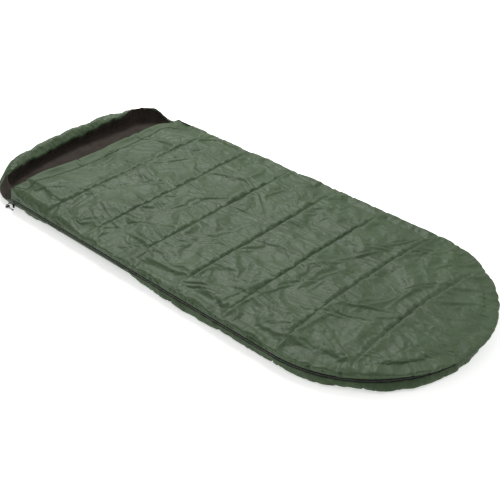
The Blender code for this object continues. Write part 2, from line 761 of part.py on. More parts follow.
# -------------------------------------------------------------------------- main
def main():
    """Build every piece of the bag."""
    clear_scene()
    materials = {
        "shell": make_material("green_polyester_shell", (0.119, 0.153, 0.102), 0.55),
        "lining": make_material("brown_fleece", (0.045, 0.038, 0.034), 0.95),
        "filling": make_material("white_hollowfibre", (0.80, 0.80, 0.78), 0.95),
        "hem": make_material("green_binding", (0.105, 0.138, 0.092), 0.60),
        "tape": make_material("black_woven_tape", (0.016, 0.017, 0.016), 0.80),
        "coil": make_material("black_nylon_coil", (0.020, 0.021, 0.020), 0.45),
        "metal": make_material("zinc_alloy", (0.56, 0.57, 0.58), 0.35, 1.0),
        "plastic": make_material("black_moulded_plastic", (0.015, 0.015, 0.016), 0.45),
        "cord": make_material("black_elastic_cord", (0.014, 0.014, 0.014), 0.80),
    }
    make_base(materials)
    make_top(materials)
    make_hood_floor(materials)
    make_collar(materials)
    make_zip(materials)
    make_sliders(materials)
    make_eyelet(materials)
    make_tail(materials)
    make_cord_lock(materials)
    side_fold = add_axis("side_fold_axis", (0.0, HALF_WIDTH + SIDE_AXIS_OFFSET, FOLD_HEIGHT))
    hang_on(side_fold, "top_")
    neck_fold = add_axis("neck_fold_axis", (NECK_X, 0.0, FOLD_HEIGHT))
    hang_on(neck_fold, "hood_")
    lock_track = add_axis("cord_lock_track", lock_place())
    hang_on(lock_track, "cord_lock_")


main()
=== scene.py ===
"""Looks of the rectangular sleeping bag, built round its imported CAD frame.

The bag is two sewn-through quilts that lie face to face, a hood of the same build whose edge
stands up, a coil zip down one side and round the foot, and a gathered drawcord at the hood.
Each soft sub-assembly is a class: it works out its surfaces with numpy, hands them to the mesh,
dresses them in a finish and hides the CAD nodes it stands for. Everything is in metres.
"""

import logging
import math
from dataclasses import dataclass, field
from enum import Enum

import bpy
import numpy as np
from mathutils import Matrix, Vector


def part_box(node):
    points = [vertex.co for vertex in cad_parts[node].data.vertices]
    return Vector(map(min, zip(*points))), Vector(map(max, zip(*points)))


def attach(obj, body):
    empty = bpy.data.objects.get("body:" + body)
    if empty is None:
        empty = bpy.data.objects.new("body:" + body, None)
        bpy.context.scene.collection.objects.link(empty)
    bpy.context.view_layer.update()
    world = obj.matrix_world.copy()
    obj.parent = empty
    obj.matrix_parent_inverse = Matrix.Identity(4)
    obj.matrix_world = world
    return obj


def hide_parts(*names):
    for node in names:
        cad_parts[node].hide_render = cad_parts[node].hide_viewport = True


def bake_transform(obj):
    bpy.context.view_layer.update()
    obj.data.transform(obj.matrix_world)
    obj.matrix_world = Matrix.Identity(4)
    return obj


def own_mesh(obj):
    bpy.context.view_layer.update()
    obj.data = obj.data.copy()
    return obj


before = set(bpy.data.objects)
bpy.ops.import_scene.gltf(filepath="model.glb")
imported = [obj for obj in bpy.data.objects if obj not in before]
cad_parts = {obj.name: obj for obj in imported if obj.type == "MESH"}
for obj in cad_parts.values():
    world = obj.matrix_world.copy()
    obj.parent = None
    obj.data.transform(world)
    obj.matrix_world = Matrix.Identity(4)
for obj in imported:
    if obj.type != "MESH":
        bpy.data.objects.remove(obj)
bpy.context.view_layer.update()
LOG = logging.getLogger("sleeping_bag")
Array = np.ndarray


# ---------------------------------------------------------------- small tools


def linear(hex_colour: str) -> tuple[float, float, float, float]:
    """Turn an sRGB hex colour into linear light.

    Args:
        hex_colour: Six hex digits with a leading hash.

    Returns:
        Red, green, blue in linear light, and 1 for alpha.
    """
    parts = [int(hex_colour[i:i + 2], 16) / 255 for i in (1, 3, 5)]
    light = [c / 12.92 if c <= 0.04045 else ((c + 0.055) / 1.055) ** 2.4 for c in parts]
    return (light[0], light[1], light[2], 1.0)


def add_node(
    tree: bpy.types.NodeTree, kind: str, inputs: dict | None = None, **settings: object
) -> bpy.types.Node:
    """Add one node, set its settings, and fill or link its inputs.

    Args:
        tree: The tree that gets the node.
        kind: The node's type name without its ShaderNode prefix.
        inputs: Input name or number to a value, or to the output socket that feeds it.
        **settings: The node's own properties.

    Returns:
        The new node.
    """
    node = tree.nodes.new("ShaderNode" + kind)
    for name, value in settings.items():
        setattr(node, name, value)
    for key, value in (inputs or {}).items():
        if isinstance(value, bpy.types.NodeSocket):
            tree.links.new(value, node.inputs[key])
        else:
            node.inputs[key].default_value = value
    return node


def smooth_step(share: Array) -> Array:
    """Ease a share from 0 to 1: three times its square less twice its cube, level at both ends."""
    share = np.clip(share, 0.0, 1.0)
    return share * share * (3 - 2 * share)


def ripple(along: Array, step: float, rng: np.random.Generator) -> Array:
    """Random smooth curve: heights from -1 to 1 set every step, eased from one to the next.

    Args:
        along: Distances along the line, in metres.
        step: Distance between two random heights.
        rng: The seeded source of heights.

    Returns:
        One height for each distance.
    """
    place = (along - along.min()) / step
    cell = np.floor(place).astype(int)
    heights = rng.uniform(-1, 1, cell.max() + 2)
    share = smooth_step(place - cell)
    return heights[cell] * (1 - share) + heights[cell + 1] * share


def lumps(x: Array, y: Array, step: float, rng: np.random.Generator) -> Array:
    """Random smooth surface: heights from -1 to 1 on a square lattice, eased along both ways.

    Args:
        x: Places along the bag.
        y: Places across the bag.
        step: The lattice's spacing.
        rng: The seeded source of heights.

    Returns:
        One height for each place.
    """
    u, v = (x - x.min()) / step, (y - y.min()) / step
    i, j = np.floor(u).astype(int), np.floor(v).astype(int)
    heights = rng.uniform(-1, 1, (i.max() + 2, j.max() + 2))
    a, b = smooth_step(u - i), smooth_step(v - j)
    near = heights[i, j] * (1 - b) + heights[i, j + 1] * b
    far = heights[i + 1, j] * (1 - b) + heights[i + 1, j + 1] * b
    return near * (1 - a) + far * a


def grid_quads(index: Array, wrap: bool = False) -> Array:
    """Four corners of every cell of a grid of vertex numbers.

    Args:
        index: Vertex numbers, rows by columns.
        wrap: Whether the last column joins the first.

    Returns:
        Cells by four.
    """
    if wrap:
        index = np.concatenate([index, index[:, :1]], axis=1)
    return np.stack([index[:-1, :-1], index[1:, :-1], index[1:, 1:], index[:-1, 1:]], -1).reshape(-1, 4)


def make_piece(
    name: str, points: Array, quads: Array, finish: bpy.types.Material, caps: tuple = (),
    smooth: bool = True,
) -> bpy.types.Object:
    """Put a surface into a mesh object with its faces outwards.

    Args:
        name: The piece's name.
        points: Vertices by three, in the bag's own frame.
        quads: Cells by four.
        finish: Its material.
        caps: Further faces, each a row of vertex numbers.
        smooth: Whether it is shaded smooth.

    Returns:
        The object, at the origin, unturned and unscaled.
    """
    mesh = bpy.data.meshes.new(name)
    faces = quads.tolist() + [list(map(int, cap)) for cap in caps]
    mesh.from_pydata(points.reshape(-1, 3).tolist(), [], faces)
    mesh.validate()
    mesh.polygons.foreach_set("use_smooth", np.full(len(mesh.polygons), smooth))
    mesh.materials.append(finish)
    piece = bpy.data.objects.new(name, mesh)
    bpy.context.scene.collection.objects.link(piece)
    turn_outwards(piece)
    return piece


def turn_outwards(piece: bpy.types.Object) -> None:
    """Point the faces of a closed piece outwards: if its signed volume is below zero, flip them all.

    Args:
        piece: The closed piece.
    """
    mesh = piece.data
    mesh.calc_loop_triangles()
    corners = np.zeros(len(mesh.loop_triangles) * 3, np.int32)
    mesh.loop_triangles.foreach_get("vertices", corners)
    places = np.zeros(len(mesh.vertices) * 3, np.float32)
    mesh.vertices.foreach_get("co", places)
    a, b, c = np.moveaxis(places.reshape(-1, 3).astype(float)[corners.reshape(-1, 3)], 1, 0)
    if np.einsum("ij,ij->", a - places.reshape(-1, 3).mean(0), np.cross(b, c)) < 0:
        mesh.flip_normals()


def closed_sheet(name: str, front: Array, back: Array, finish: bpy.types.Material) -> bpy.types.Object:
    """A thin closed sheet from its two faces: the same grid twice, with a strip round the four sides.

    Args:
        name: The piece's name.
        front: Rows by columns by three.
        back: The same grid on the other face.
        finish: Its material.

    Returns:
        The object.
    """
    rows, columns = front.shape[:2]
    near = np.arange(rows * columns).reshape(rows, columns)
    far = near + rows * columns
    rim = np.concatenate([near[0], near[1:, -1], near[-1, -2::-1], near[-2:0:-1, 0]])
    strip = np.stack([rim, rim + rows * columns])
    quads = np.concatenate([grid_quads(near), grid_quads(far)[:, ::-1], grid_quads(strip, wrap=True)])
    points = np.concatenate([front.reshape(-1, 3), back.reshape(-1, 3)])
    return make_piece(name, points, quads, finish)


def row_normals(grid: Array) -> Array:
    """Unit normals of a grid: the cross product of its two slopes, brought to length one.

    Args:
        grid: Rows by columns by three.

    Returns:
        One normal for each place.
    """
    down, along = np.gradient(grid, axis=0), np.gradient(grid, axis=1)
    normal = np.cross(down, along)
    return normal / np.maximum(np.linalg.norm(normal, axis=-1, keepdims=True), 1e-12)


# ---------------------------------------------------------------- finishes

BAND_SCALE = 0.314  # a wave texture of scale 1 has its bands this far apart: two pi over twenty

@dataclass(frozen=True)
class Finish:
    """A surface finish: what the real one is, and the numbers that its shader takes."""

    name: str
    colour: str
    shade: str
    roughness: float
    metallic: float = 0.0
    ior: float = 1.5
    specular: float = 0.5
    sheen: float = 0.0
    sheen_tint: str = "#FFFFFF"

    def start(self) -> tuple[bpy.types.Material, bpy.types.NodeTree, bpy.types.Node, bpy.types.NodeSocket]:
        """Make the material with its shader.

        Returns:
            The material, its tree, its shader node and the Object coordinates.
        """
        material = bpy.data.materials.new(self.name)
        material.use_nodes = True
        tree = material.node_tree
        shader = tree.nodes["Principled BSDF"]
        shader.inputs["Base Color"].default_value = linear(self.colour)
        shader.inputs["Roughness"].default_value = self.roughness
        shader.inputs["Metallic"].default_value = self.metallic
        if not self.metallic:
            shader.inputs["IOR"].default_value = self.ior
            shader.inputs["Specular IOR Level"].default_value = self.specular
        if self.sheen:
            shader.inputs["Sheen Weight"].default_value = self.sheen
            shader.inputs["Sheen Roughness"].default_value = 0.5
            shader.inputs["Sheen Tint"].default_value = linear(self.sheen_tint)
        place = add_node(tree, "TexCoord").outputs["Object"]
        return material, tree, shader, place

    def run_colour(self, tree: bpy.types.NodeTree, share: bpy.types.NodeSocket) -> None:
        """Let the base colour run from the shade to the full colour.

        Args:
            tree: The material's tree.
            share: 0 for the shade, 1 for the full colour.
        """
        colour = add_node(tree, "Mix", {
            "Factor": share, 6: linear(self.shade), 7: linear(self.colour)}, data_type="RGBA")
        tree.links.new(colour.outputs[2], tree.nodes["Principled BSDF"].inputs["Base Color"])


@dataclass(frozen=True)
class Taffeta(Finish):
    """Plain-woven polyester taffeta, calendered: a smooth cloth whose creases catch a soft gleam."""

    thread: float = 0.0016  # a real thread is 0.25 mm apart, too fine to show, so it is drawn at 1.6 mm
    crease: float = 0.026   # distance between the small creases that a light cloth takes over filling
    crush: float = 0.016    # size of the crushed patches left by its stuff sack

    def build(self) -> bpy.types.Material:
        """Dye blotches, broken ridges for creases, fine puckers by the seams, and the two thread ways.

        Returns:
            The material.
        """
        material, tree, shader, place = self.start()
        blotch = add_node(tree, "TexNoise", {
            "Vector": place, "Scale": 9.0, "Detail": 3.0, "Roughness": 0.6})
        fleck = add_node(tree, "TexNoise", {
            "Vector": place, "Scale": 95.0, "Detail": 2.0, "Roughness": 0.7})
        both = add_node(tree, "Math", {
            0: blotch.outputs["Fac"], 1: fleck.outputs["Fac"]}, operation="ADD")
        share = add_node(tree, "MapRange", {
            "Value": both.outputs[0], "From Min": 0.72, "From Max": 1.28})
        self.run_colour(tree, share.outputs[0])
        rough = add_node(tree, "MapRange", {
            "Value": fleck.outputs["Fac"], "From Min": 0.3, "From Max": 0.7,
            "To Min": self.roughness - 0.07, "To Max": self.roughness + 0.07})
        tree.links.new(rough.outputs[0], shader.inputs["Roughness"])
        bent = add_node(tree, "TexNoise", {"Vector": place, "Scale": 14.0, "Detail": 1.0})
        push = add_node(tree, "VectorMath", {
            0: bent.outputs["Color"], 1: (0.09, 0.09, 0.09)}, operation="MULTIPLY")
        moved = add_node(tree, "VectorMath", {0: place, 1: push.outputs[0]}, operation="ADD")
        wide = add_node(tree, "Mapping", {"Vector": moved.outputs[0], "Scale": (0.42, 1.0, 0.8)})
        rumple = add_node(tree, "TexNoise", {
            "Vector": wide.outputs[0], "Scale": 0.8 / self.crease, "Detail": 1.6, "Roughness": 0.5})
        centre = add_node(tree, "Math", {0: rumple.outputs["Fac"], 1: 0.5}, operation="SUBTRACT")
        ridge = add_node(tree, "Math", {0: centre.outputs[0]}, operation="ABSOLUTE")
        fold = add_node(tree, "MapRange", {
            "Value": ridge.outputs[0], "From Min": 0.0, "From Max": 0.22, "To Min": 1.0, "To Max": 0.0},
            interpolation_type="SMOOTHSTEP")
        creases = add_node(tree, "Bump", {"Height": fold.outputs[0], "Strength": 0.62, "Distance": 0.0020})
        drawn = add_node(tree, "Mapping", {"Vector": moved.outputs[0], "Scale": (0.38, 1.0, 0.6)})
        crush = add_node(tree, "TexNoise", {
            "Vector": drawn.outputs[0], "Scale": 1.1 / self.crush, "Detail": 2.0, "Roughness": 0.6})
        patch = add_node(tree, "MapRange", {
            "Value": blotch.outputs["Fac"], "From Min": 0.42, "From Max": 0.66, "To Max": 0.55})
        near_seam = add_node(tree, "Attribute", attribute_name="pucker")
        amount = add_node(tree, "Math", {
            0: patch.outputs[0], 1: near_seam.outputs["Fac"]}, operation="ADD")
        small = add_node(tree, "Math", {
            0: crush.outputs["Fac"], 1: amount.outputs[0]}, operation="MULTIPLY")
        crushed = add_node(tree, "Bump", {
            "Height": small.outputs[0], "Strength": 0.60, "Distance": 0.0024, "Normal": creases.outputs[0]})
        ways = [add_node(tree, "TexWave", {
            "Vector": place, "Scale": BAND_SCALE / self.thread, "Distortion": 0.6, "Detail": 1.0},
            bands_direction=way).outputs["Fac"] for way in "XY"]
        weave = add_node(tree, "Math", {0: ways[0], 1: ways[1]}, operation="MULTIPLY")
        cloth = add_node(tree, "Bump", {
            "Height": weave.outputs[0], "Strength": 0.25, "Distance": 0.0003,
            "Normal": crushed.outputs[0]})
        tree.links.new(cloth.outputs[0], shader.inputs["Normal"])
        return material


@dataclass(frozen=True)
class Fleece(Finish):
    """Brushed polyester fleece: short dull pile that swallows light and goes pale at grazing angles."""

    tuft: float = 0.004  # pile tufts are about 2 mm, drawn at 4 mm so that they show

    def build(self) -> bpy.types.Material:
        """Tufts as small rounded cells over soft clouds of brushed and flattened pile.

        Returns:
            The material.
        """
        material, tree, shader, place = self.start()
        tufts = add_node(tree, "TexVoronoi", {
            "Vector": place, "Scale": 1 / self.tuft, "Randomness": 1.0}, feature="SMOOTH_F1")
        cloud = add_node(tree, "TexNoise", {
            "Vector": place, "Scale": 24.0, "Detail": 4.0, "Roughness": 0.65})
        total = add_node(tree, "Math", {
            0: tufts.outputs["Distance"], 1: 0.35, 2: cloud.outputs["Fac"]}, operation="MULTIPLY_ADD")
        share = add_node(tree, "MapRange", {
            "Value": total.outputs[0], "From Min": 0.35, "From Max": 0.85})
        self.run_colour(tree, share.outputs[0])
        soft = add_node(tree, "Bump", {
            "Height": cloud.outputs["Fac"], "Strength": 0.5, "Distance": 0.003})
        pile = add_node(tree, "Bump", {
            "Height": tufts.outputs["Distance"], "Strength": 0.6, "Distance": 0.001,
            "Normal": soft.outputs[0]})
        tree.links.new(pile.outputs[0], shader.inputs["Normal"])
        return material


@dataclass(frozen=True)
class Woven(Finish):
    """Narrow woven polyester, as zip tape, binding and braided cord: matt ribs that run one way."""

    rib: float = 0.0012

    def build(self) -> bpy.types.Material:
        """Ribs from one wave, with a fleck of worn yarn in the colour.

        Returns:
            The material.
        """
        material, tree, shader, place = self.start()
        ribs = add_node(tree, "TexWave", {
            "Vector": place, "Scale": BAND_SCALE / self.rib, "Distortion": 1.2, "Detail": 1.0},
            bands_direction="DIAGONAL")
        worn = add_node(tree, "TexNoise", {"Vector": place, "Scale": 320.0, "Detail": 2.0})
        share = add_node(tree, "Math", {
            0: ribs.outputs["Fac"], 1: worn.outputs["Fac"]}, operation="MULTIPLY")
        self.run_colour(tree, share.outputs[0])
        bump = add_node(tree, "Bump", {
            "Height": ribs.outputs["Fac"], "Strength": 0.6, "Distance": 0.0004})
        tree.links.new(bump.outputs[0], shader.inputs["Normal"])
        return material


@dataclass(frozen=True)
class Hard(Finish):
    """A cast or moulded hard part: an even skin, rubbed paler in patches, with a fine pebble to it."""

    grain: float = 0.0006
    pebble: float = 0.25

    def build(self) -> bpy.types.Material:
        """Rubbed patches in colour and gloss, and a fine grain from the mould or the tumbling drum.

        Returns:
            The material.
        """
        material, tree, shader, place = self.start()
        rubbed = add_node(tree, "TexNoise", {
            "Vector": place, "Scale": 160.0, "Detail": 3.0, "Roughness": 0.6})
        share = add_node(tree, "MapRange", {
            "Value": rubbed.outputs["Fac"], "From Min": 0.35, "From Max": 0.7})
        self.run_colour(tree, share.outputs[0])
        rough = add_node(tree, "MapRange", {
            "Value": rubbed.outputs["Fac"], "From Min": 0.3, "From Max": 0.7,
            "To Min": self.roughness + 0.1, "To Max": self.roughness - 0.05})
        tree.links.new(rough.outputs[0], shader.inputs["Roughness"])
        grain = add_node(tree, "TexNoise", {"Vector": place, "Scale": 1 / self.grain, "Detail": 1.0})
        bump = add_node(tree, "Bump", {
            "Height": grain.outputs["Fac"], "Strength": self.pebble, "Distance": 0.0001})
        tree.links.new(bump.outputs[0], shader.inputs["Normal"])
        return material


@dataclass(frozen=True)
class Palette:
    """Every finish on the bag, built once."""

    shell: bpy.types.Material = field(default_factory=lambda: Taffeta(
        "calendered_polyester_taffeta_olive", "#485B3F", "#3A4B32", 0.50, specular=0.30, sheen=0.03,
        sheen_tint="#B8C4AC").build())
    fleece: bpy.types.Material = field(default_factory=lambda: Fleece(
        "brushed_polyester_fleece_dark_brown", "#3D3732", "#2A2622", 0.95, specular=0.1, sheen=0.25,
        sheen_tint="#8C827C").build())
    tape: bpy.types.Material = field(default_factory=lambda: Woven(
        "woven_polyester_zip_tape_black", "#26282A", "#131415", 0.85, specular=0.25).build())
    binding: bpy.types.Material = field(default_factory=lambda: Woven(
        "folded_taffeta_binding_olive", "#55674C", "#44543C", 0.6, specular=0.3, rib=0.0022).build())
    thread: bpy.types.Material = field(default_factory=lambda: Woven(
        "spun_polyester_sewing_thread_green", "#3C4637", "#2A3227", 0.8, specular=0.2, rib=0.0010).build())
    cord: bpy.types.Material = field(default_factory=lambda: Woven(
        "braided_polyester_elastic_cord_black", "#3A3B3C", "#161718", 0.8, specular=0.25,
        rib=0.0011).build())
    coil: bpy.types.Material = field(default_factory=lambda: Hard(
        "drawn_nylon_zip_coil_grey_green", "#6E7368", "#54594F", 0.38, ior=1.53, grain=0.0004).build())
    enamel: bpy.types.Material = field(default_factory=lambda: Hard(
        "die_cast_zinc_tumbled_gunmetal", "#6A6C6F", "#3E4042", 0.34, metallic=1.0, grain=0.0005).build())
    acetal: bpy.types.Material = field(default_factory=lambda: Hard(
        "moulded_acetal_black", "#1D1E1F", "#121213", 0.42, ior=1.48, grain=0.0005).build())
    steel: bpy.types.Material = field(default_factory=lambda: Hard(
        "drawn_spring_steel", "#9A9B9C", "#707172", 0.28, metallic=1.0, grain=0.0004).build())


# ---------------------------------------------------------------- places from the CAD


@dataclass(frozen=True)
class Layout:
    """Where things are, read from the CAD nodes' boxes at rest."""

    head_x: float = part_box("top_shell")[0].x
    neck_x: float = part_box("base_shell")[0].x
    tip_x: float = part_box("top_shell")[1].x
    half_width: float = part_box("top_shell")[1].y
    base_top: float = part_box("base_shell")[1].z
    lining_low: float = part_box("base_lining")[0].z
    pocket_top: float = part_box("top_shell")[0].z
    crown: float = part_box("top_shell")[1].z
    seams: tuple[float, ...] = tuple(-0.580 + 0.235 * k for k in range(7))  # one chamber apart
    seam_bows: tuple[float, ...] = (0.0, 0.004, 0.005, 0.009, -0.006, -0.020, -0.024)  # at mid seam

    @property
    def foot_centre(self) -> float:
        """The half-round foot's centre: one half width short of the tip."""
        return self.tip_x - self.half_width


LAYOUT = Layout()
FOOT_SLIDER = tuple(sum(c) / 2 for c in zip(*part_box("zip_foot_slider")))


@dataclass(frozen=True)
class StudioSizes:
    """Camera and light sizes."""

    camera: tuple[float, float, float] = (2.321, -2.357, 2.174)
    target: tuple[float, float, float] = (0.145, -0.081, 0.050)
    lens: float = 75.3
    sensor: float = 36.0
    sight: float = 60.0            # how far the camera sees
    roll: float = math.radians(-0.3)
    floor: float = 9.0
    floor_drop: float = 0.0006     # keeps the paper clear of the cloth's lowest places
    floor_glow: float = 0.50
    room_glow: float = 0.54
    softboxes: tuple = (           # name, watts, side, place
        ("overhead_softbox", 104.0, 1.5, (-2.0, 1.4, 3.2)),
        ("side_softbox", 22.0, 2.0, (2.2, 1.8, 2.4)),
    )


class Studio:
    """The camera, a plain pale floor and soft studio light."""

    def __init__(self, sizes: StudioSizes) -> None:
        """Keep the sizes."""
        self.sizes = sizes

    def place_camera(self) -> None:
        """Stand the camera at its place, look at the target, and turn it by the roll."""
        data = bpy.data.cameras.new("camera")
        data.lens = self.sizes.lens
        data.sensor_width = self.sizes.sensor
        data.clip_end = self.sizes.sight
        camera = bpy.data.objects.new("camera", data)
        bpy.context.scene.collection.objects.link(camera)
        place, target = Vector(self.sizes.camera), Vector(self.sizes.target)
        turn = (target - place).to_track_quat("-Z", "Y").to_matrix().to_4x4()
        camera.matrix_world = Matrix.Translation(place) @ turn @ Matrix.Rotation(self.sizes.roll, 4, "Z")
        bpy.context.scene.camera = camera

    def lay_floor(self) -> None:
        """A plain pale sheet of studio paper under the bag."""
        paper = Hard("matt_white_studio_paper", "#F6F6F5", "#F3F3F2", 0.9, specular=0.1, grain=0.002,
                     pebble=0.05)
        half = self.sizes.floor
        corners = np.array([(-half, -half, 0), (half, -half, 0), (half, half, 0), (-half, half, 0)], float)
        sheet = paper.build()
        shader = sheet.node_tree.nodes["Principled BSDF"]
        shader.inputs["Emission Color"].default_value = linear("#FFFFFF")
        shader.inputs["Emission Strength"].default_value = self.sizes.floor_glow
        floor = make_piece("floor", corners, np.array([[0, 1, 2, 3]]), sheet, smooth=False)
        floor.location.z = -self.sizes.floor_drop

    def hang_lights(self) -> None:
        """One broad overhead light set back from the camera, a weaker fill, and an even white room."""
        world = bpy.data.worlds.new("studio_room")
        bpy.context.scene.world = world
        world.use_nodes = True
        background = world.node_tree.nodes["Background"]
        background.inputs["Color"].default_value = linear("#FFFFFF")
        background.inputs["Strength"].default_value = self.sizes.room_glow
        for name, power, side, place in self.sizes.softboxes:
            data = bpy.data.lights.new(name, "AREA")
            data.energy = power
            data.size = side
            light = bpy.data.objects.new(name, data)
            bpy.context.scene.collection.objects.link(light)
            light.location = place
            light.rotation_euler = (Vector((0, 0, 0)) - Vector(place)).to_track_quat("-Z", "Y").to_euler()


# ---------------------------------------------------------------- cloth

GROUND = 0.0003  # no cloth lies lower than this

@dataclass(frozen=True)
class ClothSettings:
    """How the taffeta is settled over its filling."""

    frames: int = 16
    pressure: float = 2.3
    spare: float = 0.030      # how much longer the cloth is than the room it has
    limit: float = 0.015
    quality: int = 5
    mass: float = 0.2
    stretch: float = 12
    shear: float = 4
    bend: float = 0.02
    damping: float = 8
    air: float = 2


def settle(points: Array, quads: Array, pins: Array, cloth: ClothSettings) -> Array:
    """Settle a surface as cloth that is a little too big for its place, held where it is sewn.

    Args:
        points: Vertices by three.
        quads: Cells by four.
        pins: Vertex numbers that stay where they are.
        cloth: The cloth's numbers.

    Returns:
        The settled places, none further from its start than the cloth's limit.
    """
    piece = make_piece("settling_cloth", points, quads, bpy.data.materials.new("settling_cloth"))
    held = piece.vertex_groups.new(name="held")
    held.add([int(n) for n in pins], 1.0, "REPLACE")
    modifier = piece.modifiers.new("cloth", "CLOTH")
    body = modifier.settings
    body.quality = cloth.quality
    body.mass = cloth.mass
    body.tension_stiffness = body.compression_stiffness = cloth.stretch
    body.shear_stiffness = cloth.shear
    body.bending_stiffness = cloth.bend
    body.tension_damping = body.compression_damping = body.shear_damping = cloth.damping
    body.air_damping = cloth.air
    body.shrink_min = -cloth.spare
    body.use_pressure = True
    body.uniform_pressure_force = cloth.pressure
    body.vertex_group_mass = "held"
    body.effector_weights.gravity = 0.0
    modifier.collision_settings.use_collision = False
    modifier.point_cache.frame_start = 1
    modifier.point_cache.frame_end = cloth.frames
    for number in range(1, cloth.frames + 1):
        bpy.context.scene.frame_set(number)
    evaluated = piece.evaluated_get(bpy.context.evaluated_depsgraph_get())
    places = np.zeros(points.size, np.float32)
    evaluated.to_mesh().vertices.foreach_get("co", places)
    evaluated.to_mesh_clear()
    bpy.context.scene.frame_set(1)
    bpy.data.objects.remove(piece)
    move = places.reshape(-1, 3).astype(float) - points
    move *= np.minimum(1, cloth.limit / np.maximum(np.linalg.norm(move, axis=1, keepdims=True), 1e-9))
    settled = points + move
    settled[:, 2] = np.maximum(settled[:, 2], GROUND)
    return settled


# ---------------------------------------------------------------- quilts


class Facing(Enum):
    """Which way a quilt's puffed side looks."""

    UP = 1
    DOWN = -1


@dataclass(frozen=True)
class PlanSizes:
    """How a quilt's flat plan is cut into rows and columns."""

    head_x: float
    inset: float
    spacing: float
    corner_turn: float = 0.62  # where the foot's side rows end, as an angle from the tip


class QuiltPlan:
    """The plan of a quilt: straight head and sides and a half-round foot, as a grid of places.

    Rows run across the bag and are straight up to the last seam, each as wide as the outline there.
    Past it they turn step by step into the foot's own arc.
    """

    def __init__(self, sizes: PlanSizes) -> None:
        """Work out the grid.

        Args:
            sizes: How the plan is cut.
        """
        self.sizes = sizes
        self.radius = LAYOUT.half_width - sizes.inset
        edges = [sizes.head_x + sizes.inset, *LAYOUT.seams]
        counts = [max(2, round((b - a) / sizes.spacing)) for a, b in zip(edges, edges[1:])]
        rows = [np.linspace(a, b, n, endpoint=False) for a, b, n in zip(edges, edges[1:], counts)]
        straight = np.concatenate([*rows, [edges[-1]]])
        self.seam_rows = np.cumsum(counts)
        columns = round(2 * self.radius / sizes.spacing) + 1
        self.across = np.linspace(-1, 1, columns)
        half = self.half_at(straight)
        self.x = np.concatenate([np.repeat(straight[:, None], columns, 1), self.foot_rows(0)])
        self.y = np.concatenate([half[:, None] * self.across, self.foot_rows(1)])

    def bowed(self) -> Array:
        """Places along the bag once each seam is drawn aside, with a small wobble of its own.

        The bow counts in full at mid seam and falls off with the share across squared.

        Returns:
            Rows by columns.
        """
        bow = np.interp(self.x, [self.x[0, 0], *LAYOUT.seams, LAYOUT.tip_x], [0, *LAYOUT.seam_bows, 0])
        share = self.y / np.maximum(self.half_at(self.x), 1e-6)
        wobble = ripple(self.y, 0.022, np.random.default_rng(3)) * np.exp(-self.seam_gap(self.x) / 0.02)
        return self.x + (bow + 0.0022 * wobble) * np.clip(1 - share ** 2, 0, 1)

    def half_at(self, x: Array) -> Array:
        """Half the plan's width at each x: the full half width, then the foot circle's own."""
        past = np.clip(x - LAYOUT.foot_centre, 0, self.radius)
        return np.sqrt(self.radius ** 2 - past ** 2)

    def foot_rows(self, axis: int) -> Array:
        """The rows past the last seam, as a four-sided patch drawn between its sides.

        A point is the mean of its places between chord and arc and between the two sides, less
        the same for the four corners, so that all four sides are met exactly.

        Args:
            axis: 0 for places along the bag, 1 for places across it.

        Returns:
            Rows by columns.
        """
        chord_x = LAYOUT.seams[-1]
        turn = math.acos((chord_x - LAYOUT.foot_centre) / self.radius)
        count = round((LAYOUT.foot_centre + self.radius - chord_x) / self.sizes.spacing)
        k = (np.arange(1, count + 1) / count)[:, None]
        t = ((self.across + 1) / 2)[None, :]

        def arc(angle: Array) -> Array:
            """Places on the foot's arc at angles from the tip."""
            if axis:
                return self.radius * np.sin(angle)
            return LAYOUT.foot_centre + self.radius * np.cos(angle)

        end = self.sizes.corner_turn
        chord = self.radius * math.sin(turn) * self.across[None, :] if axis else np.full_like(t, chord_x)
        front = arc(end * self.across)[None, :]
        left, right = arc(-(turn + (end - turn) * k)), arc(turn + (end - turn) * k)
        corners = (1 - k) * ((1 - t) * chord[:, :1] + t * chord[:, -1:])
        corners = corners + k * ((1 - t) * front[:, :1] + t * front[:, -1:])
        return (1 - k) * chord + k * front + (1 - t) * left + t * right - corners

    def border(self) -> Array:
        """Vertex numbers round the grid: one side, the foot, the other side, the head."""
        index = np.arange(self.x.size).reshape(self.x.shape)
        return np.concatenate([index[:, 0], index[-1, 1:], index[-2::-1, -1], index[0, -2:0:-1]])

    def outward(self, x: Array, y: Array) -> Array:
        """Unit directions out of the plan: across, round the foot, or off the head.

        Args:
            x: Border places along the bag.
            y: The same places across it.

        Returns:
            Directions, two numbers each.
        """
        past = np.maximum(x - LAYOUT.foot_centre, 0)
        out = np.stack([past, y], -1)
        out /= np.maximum(np.linalg.norm(out, axis=-1, keepdims=True), 1e-9)
        at_head = np.isclose(x, self.x[0, 0])
        inner = at_head & (np.abs(y) < self.radius - 1e-6)
        out[inner] = (-1, 0)
        corner = at_head & ~inner
        out[corner] = np.stack([np.full(corner.sum(), -1.0), np.sign(y[corner])], -1)
        return out

    def side_gap(self) -> Array:
        """Distance of every grid place from the sides and the foot."""
        past = np.maximum(self.x - LAYOUT.foot_centre, 0)
        return LAYOUT.half_width - np.hypot(past, self.y)

    def edge_gap(self) -> Array:
        """Distance of every grid place from the quilt's outline, its head edge among it."""
        return np.minimum(self.side_gap(), self.x - self.sizes.head_x)

    def seam_gap(self, x: Array) -> Array:
        """Distance of every place from its nearest cross seam."""
        return np.min(np.abs(x[..., None] - np.array(LAYOUT.seams)), axis=-1)


